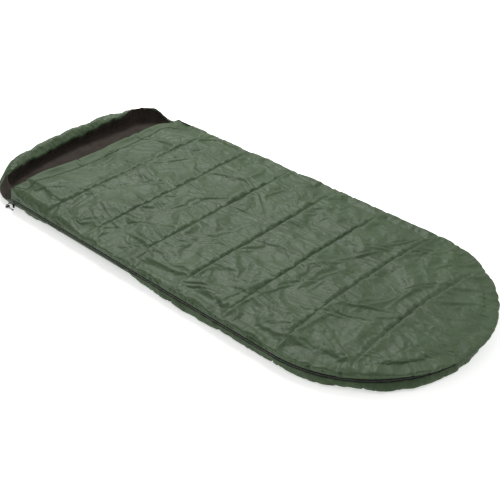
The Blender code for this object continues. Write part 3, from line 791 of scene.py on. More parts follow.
@dataclass(frozen=True)
class Puff:
    """How a sewn-through quilt stands up between its seams."""

    seam_level: float
    crown_level: float
    edge_level: float
    groove: float = 0.034        # how fast the cloth rises from a seam
    pinch: float = 0.5           # share of that rise that comes at once, beside the thread
    pinch_reach: float = 0.005   # how near the thread that share has come up
    shoulder: float = 0.070      # how fast it rises from its edge
    pucker: float = 0.0022       # height of the small pleats that a seam draws in
    lump: float = 0.0030         # uneven filling
    drag: float = 0.0024         # long pulled creases
    folds: int = 150             # how many of those there are
    foot_swell: float = 1.2      # how much further the edge swells round the foot
    near_lift: float = 0.0       # how much higher the near head corner stands
    near_reach: float = 0.26     # how far that is felt, along and across
    far_drop: float = 0.0        # how much lower the far head corner lies
    far_reach: float = 0.09      # how far that is felt
    tucks: tuple[tuple[float, float, float], ...] = ()  # run from the near head corner, reach, how far in
    seed: int = 11


EDGE_DEPTH = 0.038   # how far inside the outline a quilt's edge starts to roll down
STRIP_ROOM = 0.0012  # how far inside the outline the sewn side stays, to leave room for its strip


@dataclass(frozen=True)
class EdgeRing:
    """One ring of a quilt's edge: how far out of the plan's border it stands, and how high."""

    out: float
    level: float
    follow: float = 0.0  # share of the border's own height that the ring keeps
    bulge: float = 0.0   # how far it swells between two seams


class QuiltSkin:
    """The closed skin of a quilt: a puffed face over the plan, rings down its edge, and a flat back."""

    def __init__(self, plan: QuiltPlan, puff: Puff, rings: list[EdgeRing], facing: Facing) -> None:
        """Work out the face and the edge.

        Args:
            plan: The quilt's plan.
            puff: How it stands up.
            rings: Its edge, from the face round to the back.
            facing: Which way its face looks.
        """
        self.plan, self.puff, self.rings, self.facing = plan, puff, rings, facing
        self.rng = np.random.default_rng(puff.seed)
        self.face = np.stack([plan.bowed(), plan.y, self.face_level()], -1)
        self.ring_points = self.edge_points()

    def face_level(self) -> Array:
        """Height of the face.

        It rises from a seam as one less a falling exponential of the distance, part of it at once
        and the rest slowly, and from the edge likewise; the near head corner stands higher and the
        far one lower. On that stand pleats that fade away from the seams and the edge, soft lumps,
        and long creases that each run straight across part of a chamber.

        Returns:
            Rows by columns.
        """
        plan, puff = self.plan, self.puff
        gap, edge = plan.seam_gap(plan.x), plan.edge_gap()
        rise = puff.pinch * (1 - np.exp(-gap / puff.pinch_reach))
        rise = rise + (1 - puff.pinch) * (1 - np.exp(-gap / puff.groove))
        head = np.exp(-((plan.x - LAYOUT.head_x) / puff.near_reach) ** 2)
        near = head * smooth_step((-plan.y - 0.10) / puff.near_reach)
        corner = np.hypot(plan.x - LAYOUT.head_x, LAYOUT.half_width - plan.y)
        far = np.exp(-(corner / puff.far_reach) ** 2)
        inward = 1 - np.exp(-np.maximum(plan.side_gap() - plan.sizes.inset, 0) / puff.shoulder)
        level = puff.edge_level + (puff.crown_level - puff.edge_level) * inward
        level = level + puff.near_lift * near - puff.far_drop * far
        height = puff.seam_level + (level - puff.seam_level) * rise
        return height + self.facing.value * self.wrinkles(gap, edge)

    def wrinkles(self, gap: Array, edge: Array) -> Array:
        """Pleats, lumps and pulled creases as heights above the smooth puff.

        Args:
            gap: Distance from the nearest seam.
            edge: Distance from the outline.

        Returns:
            Heights.
        """
        plan, puff, rng = self.plan, self.puff, self.rng
        bounds = [0, *plan.seam_rows, len(plan.x)]
        total = np.zeros_like(plan.x)
        for first, last in zip(bounds, bounds[1:]):
            part = slice(first, last)
            middle = (first + last) // 2 - first
            y = plan.y[part]
            slant = rng.uniform(-0.5, 0.5, 2)
            for side, rows in ((0, slice(0, middle)), (1, slice(middle, None))):
                lean = y[rows] + slant[side] * gap[part][rows]
                pleat = 0.6 * ripple(lean, 0.013, rng) + 0.4 * ripple(lean, 0.037, rng)
                reach = 0.030 + 0.022 * ripple(y[rows], 0.06, rng)
                total[part][rows] += puff.pucker * pleat * np.exp(-gap[part][rows] / reach)
        turn = np.arctan2(plan.y, np.maximum(plan.x - LAYOUT.foot_centre, 1e-9))
        round_place = turn * LAYOUT.half_width
        along = np.where(plan.x > LAYOUT.foot_centre, round_place, plan.x)
        tuck = ripple(along + 3 * (plan.y > 0), 0.018, rng) * np.exp(-edge / 0.045)
        total += 0.8 * puff.pucker * tuck
        broad, fine = lumps(plan.x, plan.y, 0.11, rng), lumps(plan.x, plan.y, 0.05, rng)
        total += puff.lump * (0.6 * broad + 0.4 * fine)
        total += self.pulled_creases(puff.folds)
        calm = smooth_step(gap / 0.012)
        return total * (0.30 + 0.70 * calm)

    def pulled_creases(self, count: int) -> Array:
        """Long narrow folds: each is a bell across its line and a bell along it, with a valley beside it.

        Args:
            count: How many.

        Returns:
            Heights.
        """
        plan, rng = self.plan, self.rng
        total = np.zeros_like(plan.x)
        for _ in range(count):
            x0 = rng.uniform(plan.x.min(), plan.x.max())
            y0 = rng.uniform(-1, 1) * LAYOUT.half_width
            angle = rng.normal(0.8, 0.45)
            length, width = rng.uniform(0.03, 0.10), rng.uniform(0.006, 0.012)
            bend = rng.uniform(-1.5, 1.5)
            dx, dy = plan.x - x0, plan.y - y0
            along = dx * math.cos(angle) + dy * math.sin(angle)
            off = dy * math.cos(angle) - dx * math.sin(angle) + bend * along ** 2
            bell = np.exp(-(along / length) ** 2)
            total += self.puff.drag * rng.uniform(0.4, 1.0) * bell * (
                np.exp(-(off / width) ** 2) - 0.5 * np.exp(-((off - 1.6 * width) / width) ** 2))
        return total

    def edge_points(self) -> Array:
        """The rings: border places moved outwards, at their own heights, swelling between the seams.

        Returns:
            Rings by border places by three.
        """
        border = self.plan.border()
        start = self.face.reshape(-1, 3)[border]
        out = self.plan.outward(start[:, 0], start[:, 1])
        gap = self.plan.seam_gap(start[:, 0])
        swell = 1 - np.exp(-gap / (1.3 * self.puff.groove))
        at_head = np.isclose(start[:, 0], self.plan.x[0, 0])
        at_sides = np.where(at_head, 0.0, 1.0)
        # No swell beside the head's edge, more of it round the foot, none beside the foot slider.
        at_sides *= smooth_step((start[:, 0] - LAYOUT.head_x - 0.03) / 0.08)
        at_sides *= 1 + self.puff.foot_swell * smooth_step((start[:, 0] - LAYOUT.foot_centre) / 0.30)
        slider = np.hypot(start[:, 0] - FOOT_SLIDER[0], start[:, 1] - FOOT_SLIDER[1])
        at_sides *= smooth_step((slider - 0.035) / 0.06)
        wave = ripple(np.arange(len(border)) * self.plan.sizes.spacing, 0.030, self.rng)
        widest = max(ring.bulge for ring in self.rings)
        tuck = self.tuck(start) * np.where(at_head, 0.0, 1.0)
        held = smooth_step((start[:, 1] - LAYOUT.half_width + 0.13) / 0.08)
        sewn_side = smooth_step((LAYOUT.foot_centre - start[:, 0]) / 0.06)
        sewn_side = sewn_side * (start[:, 1] > 0.9 * self.plan.radius)
        is_shell = self.rings[-1].out > EDGE_DEPTH / 2
        layers = []
        for ring in self.rings:
            reach = ring.out + ring.bulge * (0.12 + swell * (0.9 + 0.25 * wave)) * at_sides
            reach = reach - tuck * (ring.bulge / widest if widest else 0.0)
            past_strip = np.maximum(reach - EDGE_DEPTH + STRIP_ROOM, 0) * is_shell
            reach = reach - sewn_side * past_strip
            full = 1 - (1 - ring.follow) ** 3
            follow = np.where(at_head, full + (ring.follow - full) * held, ring.follow)
            level = ring.level + follow * (start[:, 2] - ring.level)
            layers.append(np.column_stack([start[:, :2] + out * reach[:, None], level]))
        return np.stack(layers)

    def tuck(self, start: Array) -> Array:
        """How far in the edge is drawn at border places: a bell along the outline for each tuck.

        Args:
            start: Border places.

        Returns:
            Distances, below nought where the edge stands further out.
        """
        radius, side = LAYOUT.half_width, LAYOUT.foot_centre - LAYOUT.head_x
        x, y = start[:, 0], start[:, 1]
        turn = np.arctan2(y, np.maximum(x - LAYOUT.foot_centre, 1e-9))
        straight = np.where(y < 0, x - LAYOUT.head_x, side + math.pi * radius + LAYOUT.foot_centre - x)
        run = np.where(x > LAYOUT.foot_centre, side + radius * (math.pi / 2 + turn), straight)
        total = np.zeros_like(run)
        for place, reach, depth in self.puff.tucks:
            total += depth * np.exp(-((run - place) / reach) ** 2)
        return total

    def mesh(self, name: str, finish: bpy.types.Material) -> bpy.types.Object:
        """Put face and edge into a mesh, and close the back with one flat face.

        Args:
            name: The piece's name.
            finish: Its material.

        Returns:
            The object.
        """
        count, rings, around = self.plan.x.size, *self.ring_points.shape[:2]
        face = grid_quads(np.arange(count).reshape(self.plan.x.shape))
        layers = count + np.arange(rings * around).reshape(rings, around)
        layers = np.concatenate([self.plan.border()[None], layers])
        edge = grid_quads(layers, wrap=True)
        points = np.concatenate([self.face.reshape(-1, 3), self.ring_points.reshape(-1, 3)])
        piece = make_piece(name, points, np.concatenate([face, edge]), finish, (layers[-1][::-1],))
        pucker = np.exp(-self.plan.seam_gap(self.plan.x) / 0.026)
        pucker = pucker + 0.5 * np.exp(-self.plan.side_gap() / 0.06)
        share = np.concatenate([pucker.ravel(), np.full(rings * around, 0.5)]).astype(np.float32)
        piece.data.attributes.new("pucker", "FLOAT", "POINT").data.foreach_set("value", share)
        return piece

    def settle(self, cloth: ClothSettings) -> None:
        """Settle face and edge as cloth held on its seams and along its tape.

        Args:
            cloth: The cloth's numbers.
        """
        count, rings, around = self.plan.x.size, *self.ring_points.shape[:2]
        held = [n for n, ring in enumerate(self.rings) if ring.follow == 0.0 and ring.bulge == 0.0]
        rows = np.arange(count).reshape(self.plan.x.shape)
        layers = count + np.arange(rings * around).reshape(rings, around)
        edge = np.concatenate([self.plan.border()[None], layers])
        points = np.concatenate([self.face.reshape(-1, 3), self.ring_points.reshape(-1, 3)])
        quads = np.concatenate([grid_quads(rows), grid_quads(edge, wrap=True)])
        pins = np.concatenate([rows[self.plan.seam_rows].ravel(), layers[held].ravel()])
        places = settle(points, quads, pins, cloth)
        self.face = places[:count].reshape(self.face.shape)
        self.ring_points = places[count:].reshape(self.ring_points.shape)


def roll_rings(
    depth: float, swell: float, middle: float, fold: float, tape: float, wall: tuple
) -> list[EdgeRing]:
    """Rings of a quilt's edge, from the face round the side to the back.

    A quarter ellipse from the face to the widest place, a short return to a fold that covers most
    of the tape, back up behind the fold to the tape's edge, a wall behind the tape, and a lip that
    turns in round the lining.

    Args:
        depth: How far inside the outline the roll starts.
        swell: How far it swells past the outline between two seams.
        middle: Height of the widest place.
        fold: Height of the fold's edge, beside the teeth.
        tape: Height of the tape's far edge.
        wall: Heights down the wall, the last of which is the back's.

    Returns:
        The rings in order.
    """
    rings = []
    for degrees in (14, 28, 42, 56, 70, 82, 90):
        angle = math.radians(degrees)
        across = math.sin(angle)
        rings.append(EdgeRing(depth * across, middle, math.cos(angle), swell * across ** 2))
    side = 1 if middle > fold else -1
    rings.append(EdgeRing(depth + 0.0020, fold + 0.55 * (middle - fold), 0.0, 0.70 * swell))
    rings.append(EdgeRing(depth + 0.0030, fold + 0.0022 * side, 0.0, 0.10 * swell))
    rings.append(EdgeRing(depth + 0.0026, fold))
    rings.append(EdgeRing(depth + 0.0017, fold + 0.0002 * side))
    rings.append(EdgeRing(depth + 0.0015, tape))
    rings.append(EdgeRing(depth - 0.0003, tape + 0.0010 * side))
    rings.append(EdgeRing(depth - 0.0004, wall[0]))
    rings.append(EdgeRing(depth - 0.0010, wall[1]))
    rings.append(EdgeRing(depth - 0.0016, wall[1]))
    rings.append(EdgeRing(depth - 0.0019, wall[2]))
    return rings


def along_line(points: Array, pitch: float) -> tuple[Array, Array]:
    """Even places along a line of points, with the line's direction at each.

    Args:
        points: The line.
        pitch: Distance between places.

    Returns:
        Places and unit directions.
    """
    steps = np.linalg.norm(np.diff(points, axis=0), axis=1)
    run = np.concatenate([[0], np.cumsum(steps)])
    trim = 0.006  # left free at each end
    at = np.arange(trim, run[-1] - trim, pitch)
    places = np.stack([np.interp(at, run, points[:, k]) for k in range(3)], -1)
    ahead = np.stack([np.interp(at + 1e-3, run, points[:, k]) for k in range(3)], -1)
    way = ahead - places
    return places, way / np.maximum(np.linalg.norm(way, axis=1, keepdims=True), 1e-9)


def sew(
    name: str, lines: list[Array], finish: bpy.types.Material, lift: tuple = (0.0, 0.0, 1.0)
) -> bpy.types.Object:
    """Rows of stitches: each stitch a six-pointed bead, longest along its line.

    A real stitch is 3 mm long; these are half as long again so that the row still reads as sewn.

    Args:
        name: The piece's name.
        lines: The lines sewn.
        finish: The thread.
        lift: Away from the cloth.

    Returns:
        The object.
    """
    stitch, pitch, thick = 0.0044, 0.0064, 0.0010  # a stitch's length, the step to the next, the thread
    found = [along_line(line, pitch) for line in lines]
    places = np.concatenate([f[0] for f in found])
    way = np.concatenate([f[1] for f in found])
    up = np.broadcast_to(np.asarray(lift, float), way.shape)
    side = np.cross(way, up)
    side /= np.maximum(np.linalg.norm(side, axis=1, keepdims=True), 1e-9)
    top = np.cross(side, way)
    corners = np.stack([
        places - way * stitch / 2, places + side * thick / 2, places + top * thick * 0.7,
        places - side * thick / 2, places - top * thick * 0.4, places + way * stitch / 2], 1)
    start = (np.arange(len(places)) * 6)[:, None, None]
    bead = np.array([
        (0, 2, 1), (0, 3, 2), (0, 4, 3), (0, 1, 4), (5, 1, 2), (5, 2, 3), (5, 3, 4), (5, 4, 1)])
    return make_piece(name, corners, (start + bead[None]).reshape(-1, 3), finish)


def tube(name: str, line: Array, radius: float, finish: bpy.types.Material) -> bpy.types.Object:
    """A round cord: a ring of twelve swept along a line, square to it, with both ends closed.

    Args:
        name: The piece's name.
        line: Its centre line.
        radius: Its radius.
        finish: Its material.

    Returns:
        The object.
    """
    way = np.gradient(line, axis=0)
    way /= np.linalg.norm(way, axis=1, keepdims=True)
    side = np.cross(way, np.array([0.0, 0.0, 1.0]))
    side /= np.linalg.norm(side, axis=1, keepdims=True)
    top = np.cross(side, way)
    angle = np.linspace(0, 2 * math.pi, 12, endpoint=False)
    across, over = np.cos(angle)[None, :, None], np.sin(angle)[None, :, None]
    ring = across * side[:, None, :] + over * top[:, None, :]
    points = line[:, None, :] + radius * ring
    index = np.arange(points.shape[0] * 12).reshape(-1, 12)
    return make_piece(name, points, grid_quads(index, wrap=True), finish, (index[0], index[-1][::-1]))


class Quilt:
    """One of the two quilts: its padded shell, its fleece lining and its stitches."""

    body: str
    facing: Facing
    fill: float

    def __init__(self, palette: Palette, plan: PlanSizes, puff: Puff, rings: list[EdgeRing]) -> None:
        """Work out the shell's surface.

        Args:
            palette: The finishes.
            plan: How the shell's plan is cut.
            puff: How it stands up.
            rings: Its edge.
        """
        self.palette = palette
        self.skin = QuiltSkin(QuiltPlan(plan), puff, rings, self.facing)

    def build(self, cloth: ClothSettings) -> None:
        """Settle the shell as cloth, then make the shell and the stitches of its seams.

        Args:
            cloth: The cloth's numbers.
        """
        self.skin.settle(cloth)
        piece = self.skin.mesh(f"{self.body}_quilt", self.palette.shell)
        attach(piece, self.body)
        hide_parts(f"{self.body}_shell", f"{self.body}_filling")
        LOG.info("%s quilt: %d faces", self.body, len(piece.data.polygons))
        self.sew_seams()

    def sew_seams(self) -> None:
        """Stitches along the seven cross seams, on the shell."""
        face, rows = self.skin.face, self.skin.plan.seam_rows
        lift = (0.0, 0.0, float(self.facing.value))
        lines = [face[row] + np.array([0, 0, 0.0004]) * self.facing.value for row in rows]
        piece = sew(f"{self.body}_seam_stitches", lines, self.palette.thread, lift=lift)
        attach(piece, self.body)

    def line_with_fleece(self, head_x: float, levels: tuple[float, float], lip: tuple[float, ...]) -> None:
        """The fleece that faces the sleeper, sewn through on the same seams.

        Args:
            head_x: Where the fleece starts.
            levels: Heights at a seam and at the crown between two.
            lip: Heights down its turned edge, the last of which is its back's.
        """
        puff = Puff(levels[0], levels[1], levels[1], groove=0.022, shoulder=0.05, pucker=0.0009,
                    lump=0.0009, drag=0.0004, seed=23)
        rings = [EdgeRing(0.0018, lip[0]), EdgeRing(0.0021, lip[1]), EdgeRing(0.0012, lip[2])]
        facing = Facing.DOWN if self.facing is Facing.UP else Facing.UP
        skin = QuiltSkin(QuiltPlan(PlanSizes(head_x, 0.004, 0.008)), puff, rings, facing)
        piece = skin.mesh(f"{self.body}_fleece_lining", self.palette.fleece)
        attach(piece, self.body)
        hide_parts(f"{self.body}_lining")
        lines = [skin.face[row] + np.array([0, 0, 0.0003]) * facing.value for row in skin.plan.seam_rows]
        sewn = sew(f"{self.body}_lining_stitches", lines, self.palette.thread,
                   lift=(0.0, 0.0, float(facing.value)))
        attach(sewn, self.body)
        LOG.info("%s fleece lining: %d faces", self.body, len(piece.data.polygons))


class TopQuilt(Quilt):
    """The covering quilt: eight puffed chambers, a hemmed head edge, fleece beneath."""

    body = "top"
    facing = Facing.UP
    fill = 0.65

    def __init__(self, palette: Palette) -> None:
        """Set its levels from the CAD and work out its skin.

        Args:
            palette: The finishes.
        """
        low, high = LAYOUT.pocket_top, LAYOUT.crown
        puff = Puff(high - 0.020, high + 0.0020, high - 0.011, pucker=0.0038, near_lift=0.022,
                    far_drop=0.034, tucks=((2.08, 0.22, -0.009), (3.85, 0.40, 0.009)))
        rings = roll_rings(EDGE_DEPTH, 0.0040, low + 0.0185, low + 0.0030, low + 0.0123,
                           (low + 0.0012, low + 0.0003, low + 0.0085))
        super().__init__(palette, PlanSizes(LAYOUT.head_x, EDGE_DEPTH, 0.005), puff, rings)

    def build(self, cloth: ClothSettings) -> None:
        """Make the shell and its stitches, then the hem and the lining.

        Args:
            cloth: The cloth's numbers.
        """
        super().build(cloth)
        self.hem_head()
        low = LAYOUT.pocket_top
        self.line_with_fleece(
            LAYOUT.head_x + 0.001, (low + 0.0052, low - 0.0012), (low + 0.0008, low + 0.0060, low + 0.0080))

    def hem_head(self) -> None:
        """A folded hem round the head edge: the skin's own places there, moved off along its normals."""
        skin = self.skin
        rows, columns = skin.plan.x.shape
        around = 2 * (rows + columns) - 4
        corner = 2 * rows + columns - 3
        order = np.concatenate([[0], np.arange(around - 1, corner, -1), [corner]])
        grid = np.concatenate([skin.ring_points[:8][::-1][:, order], skin.face[:3]])
        normal = row_normals(grid)
        piece = closed_sheet(
            "top_head_hem_band", grid + 0.0016 * normal, grid + 0.0002 * normal, self.palette.binding)
        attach(piece, self.body)
        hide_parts("top_head_hem")
        lines = [(grid + 0.0017 * normal)[-2]]
        sewn = sew("top_hem_stitches", lines, self.palette.thread)
        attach(sewn, self.body)
        LOG.info("head hem: %d faces", len(piece.data.polygons))


class BaseQuilt(Quilt):
    """The quilt that lies on the ground: a swelling side below the zip, channels beneath, fleece on top."""

    body = "base"
    facing = Facing.DOWN
    fill = 0.5

    def __init__(self, palette: Palette) -> None:
        """Set its levels from the CAD and work out its skin.

        Args:
            palette: The finishes.
        """
        top = LAYOUT.base_top
        puff = Puff(0.0085, 0.0, 0.002, groove=0.020, pucker=0.0018, lump=0.0020, drag=0.0012,
                    foot_swell=0.6, seed=31,
                    tucks=((0.45, 0.25, 0.020), (0.95, 0.20, -0.007), (1.78, 0.20, -0.009),
                           (2.21, 0.16, 0.016), (3.50, 0.60, 0.010)))
        rings = roll_rings(EDGE_DEPTH, 0.0080, 0.0125, top - 0.0028, top - 0.0123,
                           (top - 0.0010, top - 0.0003, top - 0.0080))
        super().__init__(palette, PlanSizes(LAYOUT.neck_x, EDGE_DEPTH, 0.007), puff, rings)
        self.skin.face[..., 2] = np.maximum(self.skin.face[..., 2], GROUND)

    def build(self, cloth: ClothSettings) -> None:
        """Make the shell and its stitches, then the lining.

        Args:
            cloth: The cloth's numbers.
        """
        super().build(cloth)
        top = LAYOUT.base_top
        self.line_with_fleece(
            LAYOUT.neck_x + 0.001, (top - 0.0050, top + 0.0012), (top - 0.0010, top - 0.0062, top - 0.0078))


# ---------------------------------------------------------------- hood


@dataclass(frozen=True)
class HoodSizes:
    """The hood's curve in plan and its padded collar's section."""

    corner_radius: float = 0.190
    corner_across: float = 0.260
    back_radius: float = 1.3317
    back_turn: float = math.radians(13.16)
    collar_width: float = 0.088
    collar_height: float = 0.070
    collar_low: float = 0.016
    lean: float = 0.012
    crease: float = 0.050          # where the collar's wall meets the flat lining, in from the outside
    least_turn: float = math.radians(70.0)  # the shell reaches at least this far over the rim
    lining: float = 0.0018         # the fleece's thickness on the wall
    floor_lining: float = 0.0022   # the fleece's thickness on the floor
    cord_radius: float = 0.0016
    near_ramp: float = 0.200
    far_ramp: float = 0.095
    steps: int = 260
    rim_turns: tuple[tuple[float, float], ...] = (
        (0.0, -50.0), (0.05, -20.0), (0.10, 80.0), (0.16, 128.0), (0.28, 139.0), (0.52, 140.0),
        (0.66, 130.0), (0.74, 116.0), (0.80, 80.0), (1.0, 62.0))


class Hood:
    """The hood: a padded floor whose rim curls up and inwards, gathered on a drawcord, lined in fleece."""

    def __init__(self, palette: Palette, sizes: HoodSizes, cloth: ClothSettings) -> None:
        """Work out the curve, the collar's height along it and where its shell gives way to fleece.

        Args:
            palette: The finishes.
            sizes: The hood's sizes.
            cloth: How its shell settles.
        """
        self.palette, self.sizes, self.cloth = palette, sizes, cloth
        self.rng = np.random.default_rng(47)
        self.place, self.out, self.run = self.curve(sizes.steps)
        share = self.run / self.run[-1]
        left = self.run[-1] - self.run
        climb = np.minimum(smooth_step(self.run / sizes.near_ramp), smooth_step(left / sizes.far_ramp))
        self.height = sizes.collar_low + (sizes.collar_height - sizes.collar_low) * climb
        knots = np.array(sizes.rim_turns)
        turn = np.interp(share, knots[:, 0], knots[:, 1])
        kernel = np.hanning(17) / np.hanning(17).sum()
        turn = np.convolve(np.pad(turn, 8, mode="edge"), kernel, mode="valid")
        wave = 0.7 * ripple(self.run, 0.034, self.rng) + 0.3 * ripple(self.run, 0.013, self.rng)
        self.gather = wave * smooth_step((turn - 20) / 60)
        self.turn = np.radians(turn + 9.0 * self.gather)

    def curve(self, count: int) -> tuple[Array, Array, Array]:
        """The hood's outline from the near end of the neck to the far one.

        Two corner arcs about centres on the neck line and one wide arc between them; a place is
        its centre plus the radius times the outward direction.

        Args:
            count: How many places.

        Returns:
            Places, outward directions and the run of length.
        """
        s = self.sizes
        wide = math.pi / 2 - s.back_turn
        corner = wide * s.corner_radius
        lengths = np.array([corner, 2 * s.back_turn * s.back_radius, corner])
        marks = np.concatenate([[0], np.cumsum(lengths)])
        run = np.linspace(0, marks[-1], count)
        first = np.clip(run / lengths[0], 0, 1) * wide
        second = np.clip((run - marks[1]) / lengths[1], 0, 1) * 2 * s.back_turn
        third = np.clip((run - marks[2]) / lengths[2], 0, 1) * wide
        angle = first + second + third
        out = np.stack([-np.sin(angle), -np.cos(angle)], -1)
        centre_x = LAYOUT.neck_x + math.cos(s.back_turn) * (s.back_radius - s.corner_radius)
        corner_y = np.where(run < marks[1], -1.0, 1.0) * s.corner_across
        centre = np.stack([np.full(count, LAYOUT.neck_x), corner_y], -1)
        radius = np.full(count, s.corner_radius)
        middle = (run >= marks[1]) & (run <= marks[2])
        centre[middle] = (centre_x, 0.0)
        radius[middle] = s.back_radius
        return centre + out * radius[:, None], out, run

    def lift(self, inward: Array, level: Array) -> Array:
        """Places from distances in from the outline and heights, one row for each step of the curve."""
        flat = self.place[:, None, :] - self.out[:, None, :] * inward[..., None]
        return np.concatenate([flat, level[..., None]], -1)

    def collar(self, angle: Array, grow: float) -> tuple[Array, Array]:
        """The collar's outside: a half ellipse that leans in as it rises, and the wall below it.

        Inward = half width less half width times the cosine, plus the lean times the sine; height
        = the floor's top plus the collar's height times the sine. Below nought the angle runs
        down the floor quilt's side.

        Args:
            angle: Steps by columns, in radians.
            grow: How far outside that surface.

        Returns:
            Inward distances and heights.
        """
        s = self.sizes
        over = np.maximum(angle, 0)
        high = self.height[:, None]
        half = s.collar_width / 2
        inward = half - (half + grow) * np.cos(over) + s.lean * high / s.collar_height * np.sin(over)
        level = LAYOUT.base_top + (high + grow) * np.sin(over)
        down = np.clip(-angle / (math.pi / 2), 0, 1)
        inward += 0.02 * down ** 3 - 0.004 * np.sin(np.pi * np.clip(down * 1.6, 0, 1))
        level -= down * (LAYOUT.base_top - 0.001)
        return inward, level

    def pads(self, columns: Array, depth: float) -> Array:
        """Creases that run across the collar, strongest at its gathered rim.

        Args:
            columns: The share of each column that is gathered.
            depth: How deep the creases are.

        Returns:
            Steps by columns.
        """
        fade = columns[None, :]
        fine, broad = ripple(self.run, 0.020, self.rng), ripple(self.run, 0.055, self.rng)
        return depth * (fine[:, None] * fade + 0.6 * broad[:, None])

    @staticmethod
    def bend(piece: bpy.types.Object) -> None:
        """Bake a piece's world transform into its mesh."""
        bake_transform(piece)

    def build(self) -> None:
        """Make the padded shell, its fleece and the gathering stitches."""
        self.build_shell()
        self.build_fleece()
        self.dress_cord()

    def spine(self, level: float) -> Array:
        """Places along the neck line that the floor's columns run to.

        Args:
            level: Their height.

        Returns:
            One place for each step of the curve.
        """
        share = self.run / self.run[-1]
        across = (2 * share - 1) * (LAYOUT.half_width - 0.045)
        return np.stack([np.full_like(across, LAYOUT.neck_x), across, np.full_like(across, level)], -1)

    def to_spine(self, start: Array, level: float, count: int, sag: float) -> Array:
        """Columns from a row of places to the spine: straight in plan, with an eased change of height.

        Args:
            start: One place for each step of the curve.
            level: The spine's height.
            count: How many columns.
            sag: How uneven the floor lies.

        Returns:
            Steps by columns by three.
        """
        share = np.linspace(0, 1, count + 1)[1:]
        end = self.spine(level)
        rows = start[:, None, :] * (1 - share[None, :, None]) + end[:, None, :] * share[None, :, None]
        climb = end[:, None, 2] - start[:, None, 2]
        rows[..., 2] = start[:, None, 2] + climb * smooth_step(share * 3)[None]
        uneven = sag * lumps(rows[..., 0], rows[..., 1], 0.06, self.rng)
        rows[..., 2] += uneven * np.sin(math.pi * share)[None]
        return rows

    def build_shell(self) -> None:
        """The shell and its padding as one closed form: under the floor, up the outside, over the rim."""
        s = self.sizes
        end = np.maximum(self.turn, s.least_turn)
        share = np.linspace(0, 1, 34)[None, :]
        low = math.radians(-88.0)
        angle = low + (end[:, None] - low) * share
        inward, level = self.collar(angle, 0.0)
        lumpy = self.pads(np.clip((share[0] - 0.3) * 1.6, 0, 1), 0.0028)
        inward -= lumpy * np.cos(np.clip(angle, 0, math.pi / 2))
        level += lumpy * np.sin(np.clip(angle, 0, math.pi)) * (angle > 0)
        outside = self.lift(inward, level)
        tip_in, tip_up = inward[:, -1:], level[:, -1:]
        back = np.linspace(0, 1, 9)[None, 1:]
        bow = np.sin(math.pi * back)
        under_in = tip_in + (s.crease - 0.004 - tip_in) * back - 0.010 * bow
        under_up = tip_up - 0.006 + (LAYOUT.base_top - 0.004 - tip_up + 0.006) * back
        inside = self.lift(under_in, under_up)
        floor_top = self.to_spine(inside[:, -1], LAYOUT.lining_low - 0.0006, 12, 0.0)
        below = self.to_spine(outside[:, 0], 0.0006, 18, 0.0)
        section = np.concatenate([below[:, ::-1], outside, inside, floor_top], axis=1)
        section[..., 2] = np.maximum(section[..., 2], GROUND)
        steps, around = section.shape[:2]
        index = np.arange(steps * around).reshape(steps, around)
        first, last = below.shape[1] + 6, below.shape[1] + outside.shape[1] - 2
        pins = np.concatenate([index[:, :first].ravel(), index[:, last:].ravel(), index[0], index[-1]])
        settled = settle(section.reshape(-1, 3), grid_quads(index, wrap=True), pins, self.cloth)
        section = settled.reshape(section.shape)
        caps = (index[0], index[-1][::-1])
        piece = make_piece("hood_quilt", section, grid_quads(index, wrap=True), self.palette.shell, caps)
        self.bend(piece)
        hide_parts("hood_collar_shell", "hood_collar_filling", "hood_floor_shell",
                    "hood_floor_filling", "hood_drawcord_channel")
        self.outside = outside
        LOG.info("hood quilt: %d faces", len(piece.data.polygons))

    def build_fleece(self) -> None:
        """The fleece: from the rim down the collar's wall, round the crease and over the flat floor."""
        s = self.sizes
        end = np.maximum(self.turn, s.least_turn)[:, None]
        begin = np.minimum(self.turn[:, None], end - math.radians(5.0))
        share = np.linspace(0, 1, 12)[None, :]
        angle = begin + (end - begin) * share
        tucked = smooth_step((np.degrees(self.turn[:, None]) - 60) / 20)
        inward, level = self.collar(angle, s.lining)
        deeper_in, deeper_up = self.collar(angle, -s.floor_lining)
        inward = inward * (1 - tucked) + deeper_in * tucked
        level = level * (1 - tucked) + deeper_up * tucked
        over = self.lift(inward, level)
        tip_in, tip_up = inward[:, -1:], level[:, -1:]
        back = np.linspace(0, 1, 14)[None, 1:]
        wave = 0.0030 * self.gather[:, None] * (1 - back)
        wall_in = tip_in + (s.crease - tip_in) * back ** 1.2 - 0.006 * np.sin(math.pi * back) + wave
        wall_up = tip_up + (LAYOUT.base_top + 0.0010 - tip_up) * back
        wall = self.lift(wall_in, wall_up)
        floor_columns = 34
        floor = self.to_spine(wall[:, -1], LAYOUT.base_top + 0.0014, floor_columns, 0.0016)
        front = np.concatenate([over, wall, floor], axis=1)
        floor_back = floor.copy()
        floor_back[..., 2] -= s.floor_lining
        normal = row_normals(front)
        behind = front + s.lining * normal
        if np.mean(normal[:, -5:, 2]) > 0:
            behind = front - s.lining * normal
        behind[:, -floor_columns:] = floor_back
        piece = closed_sheet("hood_fleece_lining", front, behind, self.palette.fleece)
        self.bend(piece)
        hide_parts("hood_collar_lining", "hood_floor_lining")
        LOG.info("hood fleece: %d faces", len(piece.data.polygons))

